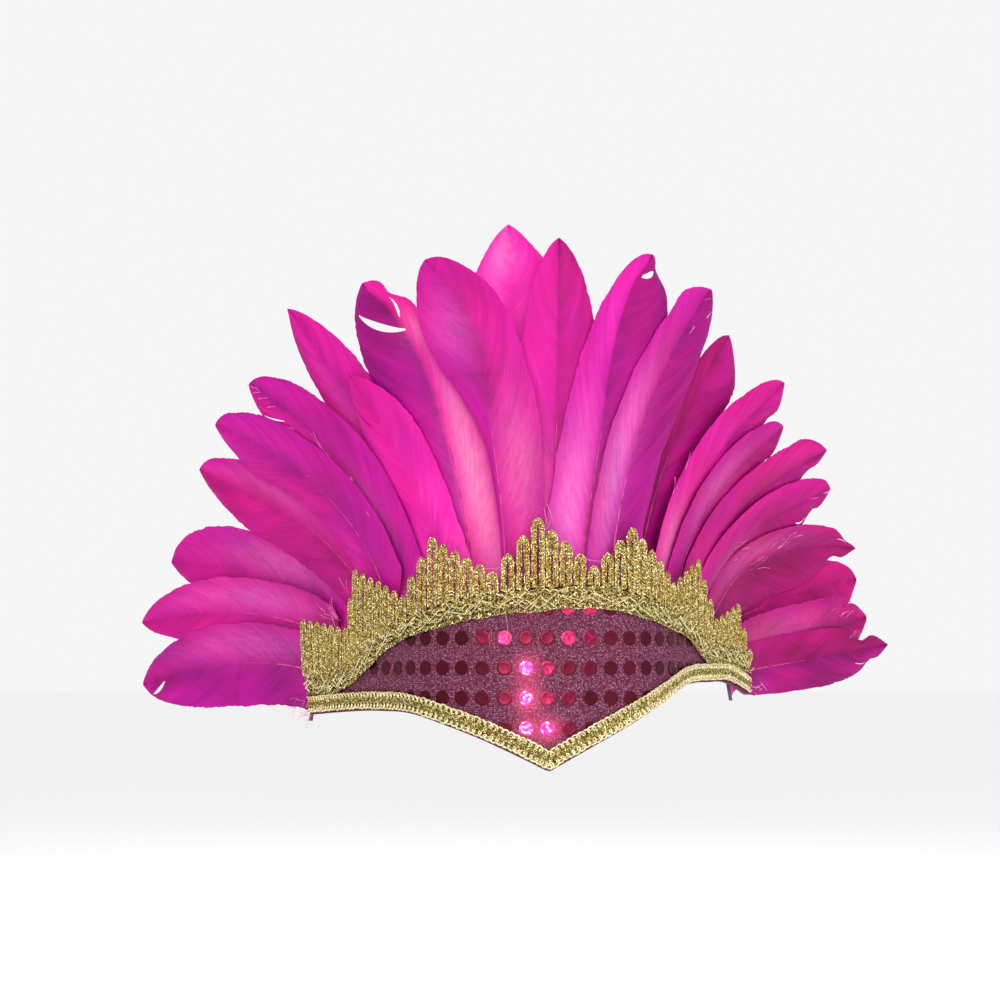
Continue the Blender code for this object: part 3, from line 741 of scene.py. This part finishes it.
# place (share of the half band), rise (share of the arch), lean in degrees, length (share of the
# longest), bend in degrees, left width and its share at the foot, right width and its share at
# the foot, how pointed the tip is, layer, roll in degrees, then the colour: tone of the left and
# right vane (0 deep, 1 pale), which is dye and also painted light and shade, each half set lighter
# or darker for how it faces the light, and how violet each is, dye with painted violet sheen in places
FEATHERS = (
    (-0.81, -0.34, -90, 0.77, -36, 0.87, 0.86, 0.83, 0.8, 0.1, 0, 0, 0.42, 0.46, 0.85, 0.7),
    (-0.81, 0.25, -83, 0.8, -38, 0.65, 0.86, 0.72, 0.86, 0.2, 1, 0, 0.42, 0.55, 0.35, 0.45),
    (-0.79, 0.52, -72, 0.75, -30, 0.7, 0.86, 0.9, 0.86, 0.1, 3, 0, 0.5, 0.52, 0.45, 0.65),
    (-0.6, 0.62, -54, 0.78, -22, 0.84, 0.64, 0.74, 0.86, 0.05, 2, 0, 0.42, 0.54, 0.3, 0.35),
    (-0.53, 0.75, -46, 0.79, -42, 0.6, 0.86, 0.72, 0.86, 0.0, 0, 0, 0.5, 0.5, 0.55, 0.75),
    (-0.46, 0.75, -37, 0.8, -38, 0.56, 0.86, 0.72, 0.86, 0.05, 1, 0, 0.5, 0.46, 0.45, 0.7),
    (-0.37, 0.75, -28, 0.93, -20, 0.56, 0.9, 0.66, 0.86, 0.66, 4, 0, 0.56, 0.57, 0.4, 0.4),
    (-0.27, 0.75, -27, 0.7, -10, 0.6, 0.86, 0.74, 0.86, 0.7, 2, 0, 0.66, 0.7, 0.3, 0.4),
    (-0.19, 0.5, -21, 0.955, -26, 0.95, 0.8, 0.87, 0.9, 0.1, 3, 0, 0.4, 0.72, 0.8, 0.15),
    (-0.12, 0.5, -12, 0.94, -32, 0.8, 0.28, 0.96, 0.66, 0.05, 0, 0, 0.5, 0.48, 0.62, 0.4),
    (-0.06, 0.5, -2, 1.0, -3, 1.0, 0.8, 0.98, 0.8, 0.36, 4, 0, 0.86, 0.84, 0.4, 0.4),
    (0.01, 0.5, 2, 0.96, -4, 0.7, 0.86, 0.78, 0.86, 0.3, 2, 0, 0.62, 0.44, 0.4, 0.3),
    (0.09, 0.5, 13, 0.96, 15, 0.78, 0.9, 1.0, 0.6, 0.05, 1, 0, 0.62, 0.4, 0.65, 0.6),
    (0.2, 0.72, 20, 0.91, 40, 0.55, 0.86, 0.7, 0.86, 0.0, 0, 0, 0.5, 0.36, 0.7, 0.7),
    (0.33, 0.75, 22, 0.8, 20, 0.46, 0.86, 0.9, 0.86, 0.15, 3, 0, 0.28, 0.32, 0.2, 0.4),
    (0.43, 0.75, 33, 0.77, 30, 0.64, 0.9, 0.86, 0.9, 0.25, 1.5, 7, 0.57, 0.46, 0.3, 0.35),
    (0.52, 0.75, 36, 0.665, 28, 0.62, 0.9, 0.94, 0.9, 0.05, 1.5, 7, 0.46, 0.4, 0.6, 0.25),
    (0.6, 0.63, 46, 0.74, 30, 0.7, 0.9, 0.84, 0.9, 0.25, 1.5, 7, 0.44, 0.34, 0.2, 0.2),
    (0.67, 0.48, 52, 0.71, 28, 0.66, 0.9, 1.06, 0.9, 0.0, 1.5, 7, 0.48, 0.36, 0.25, 0.15),
    (0.73, 0.34, 67, 0.8, 56, 0.52, 0.9, 0.86, 0.9, 0.5, 1.5, 7, 0.36, 0.26, 0.15, 0.1),
    (0.76, 0.22, 73, 0.79, 14, 0.72, 0.86, 0.82, 0.9, 0.0, 4, 0, 0.38, 0.38, 0.05, 0.0),
    (0.79, 0.06, 79, 0.74, -12, 0.76, 0.86, 0.74, 0.9, 0.0, 1, 0, 0.36, 0.3, 0.2, 0.05),
    (0.86, -0.17, 83, 0.75, -3, 0.6, 0.86, 0.6, 0.86, 0.4, 0, 0, 0.26, 0.28, 0.05, 0.45),
)
# short fluffy feathers behind the roots: place, rise and lean, then what they share
TUFT_ROOTS = ((-0.92, -0.10, -78), (-0.72, 0.25, -62), (-0.62, 0.62, -50), (-0.50, 0.75, -38),
              (-0.33, 0.85, -26), (-0.15, 0.95, -12), (0.06, 1.00, 4), (0.25, 0.90, 18),
              (0.40, 0.75, 30), (0.55, 0.60, 42), (0.66, 0.45, 52), (0.78, 0.60, 62),
              (0.92, 0.20, 80))
# the tufts' tones (0.76, 0.82) are set pale as painted light, so that deep in the shade behind the roots
# they look lit
TUFT_SHAPE = (0.34, 0, 0.80, 1.0, 0.80, 1.0, 0.0, 4.5, 0, 0.76, 0.82, 0.20, 0.30)
TUFT_RAGGED = 0.25
FIRST_TUFT = 100        # tufts count on from here, clear of the feathers' tables
# where barbs have come unhooked: feather, side, place, share where the slit starts and ends
# (past 1 it opens at the edge), half width
SPLITS = ((1, -1, 0.89, 0.15, 0.8, 0.009), (6, -1, 0.76, 0.5, 0.96, 0.009),
          (6, -1, 0.68, 0.6, 0.96, 0.007), (6, -1, 0.61, 0.68, 0.96, 0.006),
          (8, -1, 0.75, 0.35, 0.9, 0.004), (9, -1, 0.82, 0.03, 0.85, 0.013),
          (9, 1, 0.85, 0.05, 0.55, 0.01), (13, 1, 0.93, 0.06, 0.5, 0.008),
          (14, 1, 0.86, 0.55, 1.3, 0.004), (16, 1, 0.55, 0.5, 1.2, 0.004), (19, 1, 0.78, 0.5, 1.4, 0.008),
          (20, -1, 0.83, 0.5, 1.3, 0.006), (21, 1, 0.78, 0.55, 1.4, 0.006),
          (22, -1, 0.8, 0.55, 1.3, 0.006), (23, 1, 0.72, 0.5, 1.3, 0.005))
# where the outline is broken away: feather, side, place, share lost (below 0 it swells), half width
BITES = ((5, -1, 0.86, -0.35, 0.11), (6, -1, 0.93, -0.25, 0.06), (6, -1, 0.8, 0.3, 0.05),
         (3, 1, 0.8, -0.06, 0.12), (10, 1, 0.84, -0.15, 0.14), (11, -1, 0.88, -0.14, 0.08),
         (11, 1, 0.88, -0.22, 0.08), (4, -1, 0.84, -0.15, 0.1), (14, -1, 0.94, -0.35, 0.05),
         (15, 1, 0.88, -0.25, 0.08), (16, 1, 0.96, -0.3, 0.04), (18, -1, 0.9, -0.2, 0.06),
         (9, 1, 0.93, 0.3, 0.03), (13, 1, 0.975, 0.5, 0.025), (16, 1, 0.9, 0.25, 0.05),
         (17, 1, 0.9, 0.3, 0.04), (18, 1, 0.93, 0.45, 0.045), (19, 1, 0.94, 0.45, 0.04),
         (20, 1, 0.91, 0.55, 0.05), (20, -1, 0.95, 0.45, 0.05), (21, 1, 0.9, -0.35, 0.07),
         (22, -1, 0.88, -0.2, 0.08), (23, -1, 0.86, 0.55, 0.05), (23, 1, 0.9, 0.3, 0.04))
# painted satin highlights, paler where the vane would turn to the light: feather, place, share
# across, reach along, strength
PAINTED_SATIN = ((1, 0.5, 0.5, 0.3, 0.25), (2, 0.5, 0.5, 0.3, 0.3), (3, 0.5, 0.45, 0.22, 0.3),
         (4, 0.7, 0.5, 0.2, 0.2), (6, 0.35, -0.3, 0.25, 0.4), (7, 0.6, -0.4, 0.2, 0.15),
         (9, 0.4, 0.5, 0.26, 1.0), (9, 0.8, 0.4, 0.05, 0.4), (10, 0.42, 0.5, 0.15, 0.4),
         (10, 0.8, -0.4, 0.1, 0.2), (11, 0.93, -0.25, 0.05, 0.5), (12, 0.35, -0.5, 0.15, 0.3),
         (13, 0.32, -0.5, 0.2, 0.6), (14, 0.42, -0.5, 0.26, 0.55), (16, 0.26, -0.4, 0.14, 0.6),
         (19, 0.4, 0.0, 0.2, 0.25), (17, 0.6, -0.4, 0.2, 0.3), (20, 0.45, -0.5, 0.25, 0.28),
         (22, 0.5, -0.5, 0.3, 0.22), (11, 0.34, 0.4, 0.1, 0.45), (12, 0.3, 0.5, 0.12, 0.4))
# painted shade along creases across the vane, which is not folded there: feather, place
SHADED_CREASES = ((9, 0.58), (10, 0.66), (7, 0.72), (2, 0.62), (1, 0.55), (12, 0.45))
# where a vane is narrower than its outline rule: feather, side, place of full width, share left below
NARROW = ((10, -1, 0.88, 0.1), (21, 1, 0.36, 0.15), (22, 1, 0.36, 0.15), (22, -1, 0.38, 0.1),
          (21, -1, 0.36, 0.2), (23, 1, 0.32, 0.3))
# where the shaft runs off the middle: feather, place, reach along, shift to the right
SHIFTS = ((9, 0.72, 0.28, 0.0075), (10, 0.78, 0.22, 0.0060), (13, 0.80, 0.25, -0.0050))
# where the tone differs between tip and foot: feather, change of tone from foot to tip
GRADES = ((7, -0.1), (8, -0.42), (9, -0.2), (11, -0.1), (12, -0.12), (13, -0.1), (6, -0.1), (4, 0.06),
          (2, 0.1))


def goose_vane():
    """Keratin barbs hooked into a sheet: silky, with faint slanting lines and painted satin highlights."""
    barb = 0.0009       # barbs, drawn twice as coarse as real so that they show
    streak = 0.0022     # barbs that lie together
    clump = 0.0120
    patch = 0.0035      # where the satin breaks up
    material, add, shader = new_finish("dyed_goose_vane", Roughness=0.52, Specular_IOR_Level=0.12)
    place = add("UVMap", uv_map="barbs").outputs["UV"]
    narrow = add("Mapping", {"Vector": place, "Scale": (0.12, 1.0, 1.0)}).outputs[0]
    fine = add("TexNoise", {"Vector": narrow, "Scale": 1 / streak, "Detail": 4.0}, noise_dimensions="2D")
    broad = add("TexNoise", {"Vector": place, "Scale": 1 / clump, "Detail": 2.0}, noise_dimensions="2D")
    lines = add("TexWave", {"Vector": narrow, "Scale": math.pi / 10 / barb, "Distortion": 1.5,
                            "Detail": 1.0}, bands_direction="Y")
    total = add("Attribute", attribute_name="tone").outputs["Fac"]
    for source, reach in ((fine, 0.040), (broad, 0.055), (lines, 0.012)):
        part = add("MapRange", {"Value": source.outputs["Fac"], "From Min": 0.3, "From Max": 0.7,
                                "To Min": -reach, "To Max": reach})
        total = add("Math", {0: total, 1: part.outputs[0]}, operation="ADD").outputs[0]
    fifths = (0.0, 0.25, 0.50, 0.75, 1.0)
    pink = ("#5E0234", "#92045A", "#BE0A78", "#DE1894", "#F240AE")
    violet = ("#4C0244", "#7E066A", "#A80C8A", "#CC20A0", "#EA50BC")
    pinks, violets = (add("ValToRGB", {"Fac": total}, zip(fifths, dyes)) for dyes in (pink, violet))
    hue = add("Attribute", attribute_name="hue").outputs["Fac"]
    # the tone ramp gives dye together with painted light and shade
    dye_and_shade = add("Mix", {0: hue, 6: pinks, 7: violets}, data_type="RGBA")
    mottle = add("TexNoise", {"Vector": place, "Scale": 1 / patch, "Detail": 4.0, "Roughness": 0.7},
                 noise_dimensions="2D")
    patchy = add("MapRange", {"Value": mottle, "From Min": 0.35, "From Max": 0.65, "To Min": 0.55,
                              "To Max": 1.0})
    # painted highlight: the satin share mixes the vane towards a pale sheen colour
    painted_satin = add("Attribute", attribute_name="painted_satin").outputs["Fac"]
    share = add("Math", {0: painted_satin, 1: patchy}, operation="MULTIPLY")
    satin_highlight_colour = add("Mix", {0: hue, 6: linear("#E07AA2"), 7: linear("#C87CC8")}, data_type="RGBA")
    colour = add("Mix", {0: share, 6: dye_and_shade, 7: satin_highlight_colour}, data_type="RGBA")
    height = add("Math", {0: lines.outputs["Fac"], 1: fine}, operation="ADD")
    bump = add("Bump", {"Height": height, "Strength": 0.22, "Distance": 0.0003})
    wire(shader, {"Base Color": colour, "Normal": bump})
    return material


def dyed_horn(name, cloud, dark, light, roughness, specular):
    """Keratin dyed through; its colour drifts between two over about the size of a cloud."""
    material, add, shader = new_finish(name, Roughness=roughness, Specular_IOR_Level=specular)
    place = add("TexCoord").outputs["Object"]
    grain = add("TexNoise", {"Vector": place, "Scale": 1 / cloud})
    colour = add("ValToRGB", {"Fac": grain}, stops=((0.35, dark), (0.65, light)))
    wire(shader, {"Base Color": colour})
    return material


def vane_share(t, foot, point):
    """Half width of a vane along its shaft, as a share of its widest."""
    grown = ease(t / VANE_FULL)
    swell = foot + (1.0 - foot) * ease((t - VANE_FULL) / (TIP_START - VANE_FULL))
    past = np.clip((t - TIP_START) / (1.0 - TIP_START), 0.0, 1.0)
    return grown * swell * (1.0 - past**TIP_FULLNESS) ** (0.5 + 0.5 * point)


def shaft_line(row, t):
    """Flat place and heading of the shaft at shares t of its length."""
    place, rise, lean, length, bend = row[:5]
    length = length * FEATHER_LENGTH
    fine = np.linspace(0.0, 1.0, 241)
    heading = np.radians(lean + bend * (fine - 0.5))
    middle = (heading[1:] + heading[:-1]) / 2
    step = length / (len(fine) - 1)
    along = place * BAND_HALF + np.r_[0.0, np.cumsum(np.sin(middle) * step)]
    height = rise * PANEL_ARCH + np.r_[0.0, np.cumsum(np.cos(middle) * step)]
    return np.interp(t, fine, along), np.interp(t, fine, height), np.interp(t, fine, heading)


def layer_depth(row, t):
    """How far behind the panel's front a feather lies at shares t of its length."""
    layer = row[10]
    length = row[3] * FEATHER_LENGTH
    return CLEARANCE + QUILL_FRONT + layer * LAYER_STEP * ease(t * length / LAYER_RUN)


def rows_of(table, number):
    """A feather's rows of a table, without their first column."""
    return [row[1:] for row in table if row[0] == number]


def shaft_shift(number, t):
    """How far the shaft runs to the right of the feather's middle line."""
    shift = np.zeros(np.shape(t))
    for place, size, offset in rows_of(SHIFTS, number):
        shift = shift + offset * np.exp(-((t - place) / size)**2) * ease(np.asarray(1 - t) / 0.1)
    return shift


def delete_faces(item, chosen):
    """Deletes the faces that an array of true and false marks."""
    pick(item)
    bpy.ops.object.mode_set(mode="EDIT")
    bpy.ops.mesh.select_mode(type="FACE")
    bpy.ops.mesh.select_all(action="DESELECT")
    bpy.ops.object.mode_set(mode="OBJECT")
    item.data.polygons.foreach_set("select", chosen)
    bpy.ops.object.mode_set(mode="EDIT")
    bpy.ops.mesh.delete(type="FACE")
    bpy.ops.object.mode_set(mode="OBJECT")


def one_vane(name, number, row, finish, ragged):
    """A vane on each side of a bent shaft, its barbs slanting towards the tip."""
    left, foot_l, right, foot_r, point, _, roll, tone_l, tone_r, hue_l, hue_r = row[5:]
    vane, u, root = add_grid(name, 2 * VANE_COLUMNS, BARB_ROWS)
    root = (root + 1) / 2
    centres = np.empty(len(vane.data.polygons) * 3)
    vane.data.polygons.foreach_get("center", centres)
    face_u, face_root = centres[0::3], (centres[1::3] + 1) / 2
    holes = np.zeros(len(face_u), bool)
    reach = np.abs(u)
    side = np.sign(u)
    spread = np.zeros(len(u))
    for where, place, start, stop, half in rows_of(SPLITS, number):
        nearest = round(place * BARB_ROWS + 0.5) / BARB_ROWS - 0.5 / BARB_ROWS
        inside = (face_u * where > start) & (face_u * where < stop)
        holes |= (np.abs(face_root - nearest) < 0.6 / BARB_ROWS) & inside
        opened = np.sin(math.pi * np.clip((u * where - start) / (stop - start), 0, 1))
        spread += np.sign(root - nearest) * half * opened * np.exp(-np.abs(root - nearest) / (3 * half))
    edge_t = root + BARB_LEAD * 4 * root * (1 - root)
    t = np.clip(root + (edge_t - root) * reach**1.2 + spread, 0.0, 1.0)
    fine = field(number * 7.3, root * 70, side * 3)
    coarse = field(number * 2.9, root * 18, side * 3)
    notched = ragged * (0.6 * fine + 0.8 * coarse)
    wide = np.where(u < 0, left * vane_share(t, foot_l, point), right * vane_share(t, foot_r, point))
    for where, place, lost, half in rows_of(BITES, number):
        wide *= 1 - lost * (side == where) * np.exp(-((t - place) / half)**2)
    for where, full, share in rows_of(NARROW, number):
        narrowed = share + (1 - share) * ease((t - full + NARROW_RUN) / NARROW_RUN)
        wide *= np.where(side == where, narrowed, 1.0)
    across = side * reach * (VANE_WIDTH * wide * (1 + notched * reach**3) + QUILL_WIDTH * 0.3 * (1 - t))
    across += shaft_shift(number, t) * (1 - reach)
    along, height, heading = shaft_line(row, t)
    along = along + np.cos(heading) * across
    height = height - np.sin(heading) * across
    wave = field(number * 3.1, t * 5, u * 1.2)
    turned = math.radians(roll) * ease(t / VANE_FULL)
    depth = layer_depth(row, t) + across * np.tan(turned)
    crown = VANE_LIFT * np.sin(math.pi * reach) * ease(t / 0.2)
    depth += VANE_CAMBER * reach**2 - crown + VANE_WAVE * wave * reach
    set_points(vane, wrap(along, height, depth))
    set_map(vane, "barbs", across, root * row[3] * FEATHER_LENGTH + number)
    tone = np.where(u < 0, tone_l, tone_r) + 0.14 * field(number * 5.7, t * 4, u * 1.5)
    # painted shade: the tone darkens next to the shaft
    tone -= 0.10 * (1 - reach)**4
    for (change,) in rows_of(GRADES, number):
        tone += change * (t - 0.55)
    # painted shade: darker along each crease
    for (place,) in rows_of(SHADED_CREASES, number):
        tone -= 0.10 * np.exp(-((t + 0.02 * u - place) / CREASE_WIDTH)**2)
    # painted satin highlights: paler patches where the vane would turn to the light
    painted_satin = np.zeros(len(t))
    for place, share, size, strength in rows_of(PAINTED_SATIN, number):
        painted_satin += strength * np.exp(-((t - place) / size)**2 - ((u - share) / PAINTED_SATIN_WIDTH)**2)
    set_value(vane, "painted_satin", painted_satin)
    set_value(vane, "tone", np.clip(tone, 0.0, 1.0))
    set_value(vane, "hue", np.clip(np.where(u < 0, hue_l, hue_r) + 0.35 * wave, 0.0, 1.0))
    if holes.any():
        delete_faces(vane, holes)
    apply_modifier(vane, "SOLIDIFY", thickness=VANE_THICKNESS, offset=0.0)
    smooth(vane)
    vane.data.materials.append(finish)
    return vane


def one_feather(number, row, vane_finish, shaft_finish):
    """A goose feather: the vanes joined to their shaft."""
    name = f"goose_feather_{number:02d}"
    vane = one_vane(name, number, row, vane_finish, EDGE_RAGGED)
    steps = np.linspace(0.0, SHAFT_END, SHAFT_POINTS)
    along, height, heading = shaft_line(row, steps)
    along = along + np.cos(heading) * shaft_shift(number, steps)
    height = height - np.sin(heading) * shaft_shift(number, steps)
    places = wrap(along, height, layer_depth(row, steps) + SHAFT_DEPTH)
    taper = 0.60 * (1.0 - 0.88 * steps**0.8)
    shaft = add_cords(name + "_shaft", [places], QUILL_WIDTH / 2, 2, taper)
    pick(shaft)
    bpy.ops.object.convert(target="MESH")
    shaft.data.materials.clear()
    shaft.data.materials.append(shaft_finish)
    smooth(shaft)
    pick(vane, shaft)
    bpy.ops.object.join()
    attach(vane, "root")
    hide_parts(f"feather_{number:02d}")


vane_finish = goose_vane()
# glossy where it is rubbed
shaft_finish = dyed_horn("dyed_goose_shaft", 0.004, "#9C1258", "#D04488", 0.40, 0.2)
for number, row in enumerate(FEATHERS, start=1):
    one_feather(number, row, vane_finish, shaft_finish)
for number, root in enumerate(TUFT_ROOTS, start=1):
    name = f"down_tuft_{number:02d}"
    tuft = one_vane(name, FIRST_TUFT + number, root + TUFT_SHAPE, vane_finish, TUFT_RAGGED)
    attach(tuft, "root")

# Loose barbs
# Single barbs that have come out of the vanes, and downy ones at the roots: keratin hairs under
# a tenth of a millimetre thick, drawn coarser so that they show.
BARB_RADIUS = 0.00011
BARB_POINTS = 7
BARB_SCATTER = 0.06     # along the shaft, as a share of its length
BARB_LIFT = 0.0014      # in front of the vane's layer
# feather, place, share across, barbs, length, spread of their directions in degrees
LOOSE = ((1, 0.23, -0.9, 16, 0.009, 40), (1, 0.08, 0.8, 10, 0.012, 30), (2, 0.1, 0.8, 12, 0.013, 25),
         (3, 0.16, 0.9, 12, 0.015, 20), (3, 0.35, 0.9, 6, 0.012, 15), (4, 0.16, 0.9, 10, 0.015, 20),
         (6, 0.3, -0.4, 5, 0.02, 6), (6, 0.4, -0.2, 5, 0.022, 6), (6, 0.5, -0.3, 5, 0.022, 6),
         (6, 0.6, -0.2, 5, 0.02, 6), (6, 0.6, -0.9, 6, 0.012, 15), (6, 0.93, -0.2, 6, 0.008, 30),
         (14, 0.9, 0.3, 3, 0.005, 25), (15, 0.4, -0.8, 3, 0.012, 8), (16, 0.45, -0.8, 3, 0.012, 8),
         (18, 0.5, 0.9, 4, 0.012, 8), (19, 0.55, 0.7, 5, 0.012, 8), (19, 0.92, 0.6, 4, 0.006, 15),
         (20, 0.62, -0.4, 5, 0.012, 8), (21, 0.55, -0.8, 5, 0.012, 10), (22, 0.85, -0.7, 4, 0.008, 12),
         (23, 0.8, -0.8, 4, 0.008, 12), (23, 0.22, 0.7, 8, 0.008, 25), (13, 0.22, -0.9, 8, 0.014, 10),
         (10, 0.2, 0.9, 6, 0.012, 10))
# paler than the vane, because light passes through a single barb
barb_finish = dyed_horn("loose_keratin_barbs", 0.006, "#C02A88", "#F09CCB", 0.45, 0.3)
stray = random.Random(23)
hairs = []
for feather, place, share, count, length, spread in LOOSE:
    row = FEATHERS[feather - 1]
    for hair in range(count):
        t = place + stray.uniform(-BARB_SCATTER, BARB_SCATTER)
        x, z, heading = shaft_line(row, max(t, 0.01))
        width = VANE_WIDTH * (row[5] if share < 0 else row[7]) * vane_share(t + 0.1, 0.86, row[9])
        off = width * (share + stray.uniform(-0.25, 0.15))
        x += math.cos(heading) * off
        z -= math.sin(heading) * off
        depth = layer_depth(row, t) - BARB_LIFT
        aim = heading + math.radians(30.0 * share + stray.uniform(-spread, spread))
        curl = math.radians(stray.uniform(-50, 50))
        rise = stray.uniform(-0.0015, 0.0005)
        reach = length * stray.uniform(0.5, 1.0)
        line = []
        for point in range(BARB_POINTS):
            part = point / (BARB_POINTS - 1)
            line.append((x, z, depth + rise * part))
            x += math.sin(aim + curl * part) * reach / BARB_POINTS
            z += math.cos(aim + curl * part) * reach / BARB_POINTS
        hairs.append(np.array(line))
spun("loose_barbs", [(hairs, BARB_RADIUS, 0)], barb_finish)

# Elastic
# Flat woven elastic in dark purple, about 8 mm wide, sewn inside both ends of the panel. Its
# cut ends stick out below the corners. The part's own strap stays, with this finish.


def woven_elastic():
    """Rubber cores under polyester yarn: matt, with fine ribs along its length."""
    rib = 0.0012
    material, add, shader = new_finish("woven_elastic", Roughness=0.75, Sheen_Weight=0.2)
    place = add("TexCoord").outputs["Object"]
    ribs = add("TexWave", {"Vector": place, "Scale": math.pi / 10 / rib}, bands_direction="Z")
    colour = add("Mix", {0: ribs.outputs["Fac"], 6: linear("#3E2340"), 7: linear("#6B4668")},
                 data_type="RGBA")
    bump = add("Bump", {"Height": ribs.outputs["Fac"], "Strength": 0.4, "Distance": 0.0003})
    wire(shader, {"Base Color": colour, "Normal": bump})
    return material


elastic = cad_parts["elastic_strap"]
elastic.data.materials.clear()
elastic.data.materials.append(woven_elastic())

# Stage
# A pale floor below the headdress, soft light from the front and above, and the camera where
# the photograph was taken from.
FLOOR_DROP = 0.26
FLOOR_SIZE = 30.0
SKY_STRENGTH = 0.92
CAMERA_DISTANCE = 0.640
CAMERA_YAW = math.radians(4.55)
CAMERA_PIVOT = Vector((0.0, 0.078, 0.0))
CAMERA_TILT = math.radians(6.897)
CAMERA_PAN = math.radians(3.354)
LENS = 50.0
SENSOR = 36.0


def add_light(name, place, target, size, watts, code):
    """A round soft light that looks at a target."""
    bpy.ops.object.light_add(type="AREA", location=place)
    lamp = bpy.context.object
    lamp.name = name
    lamp.data.shape = "DISK"
    lamp.data.size = size
    lamp.data.energy = watts
    lamp.data.color = linear(code)[:3]
    lamp.rotation_euler = (Vector(target) - Vector(place)).to_track_quat("-Z", "Y").to_euler()


bpy.ops.mesh.primitive_plane_add(size=FLOOR_SIZE, location=(0.0, 0.0, -FLOOR_DROP))
floor = bpy.context.object
floor.name = "floor"
paper = new_finish("floor_paper", Roughness=0.9, Base_Color=linear("#FAFAFA"))[0]
floor.data.materials.append(paper)

add_light("key", (-0.14, -1.28, 0.30), (0.0, 0.0, 0.05), 0.6, 9.0, "#FFFDF8")
add_light("fill", (0.95, -0.85, 0.35), (0.0, 0.0, 0.05), 1.0, 3.0, "#FAF8FF")
add_light("rim", (0.1, 1.1, 0.9), (0.0, 0.05, 0.08), 1.2, 5.0, "#FFFFFF")

world = bpy.data.worlds.new("studio")
world.use_nodes = True
wire(world.node_tree.nodes["Background"], {"Color": linear("#FFFFFF"), "Strength": SKY_STRENGTH})
bpy.context.scene.world = world
bpy.context.scene.view_settings.view_transform = "Standard"

bpy.ops.object.camera_add()
camera = bpy.context.object
camera.data.lens = LENS
camera.data.sensor_width = SENSOR
back = Vector((-math.sin(CAMERA_YAW), -math.cos(CAMERA_YAW), 0.0))
camera.location = CAMERA_PIVOT + back * CAMERA_DISTANCE
camera.rotation_euler = (math.pi / 2 + CAMERA_TILT, 0.0, -CAMERA_PAN)
bpy.context.scene.camera = camera
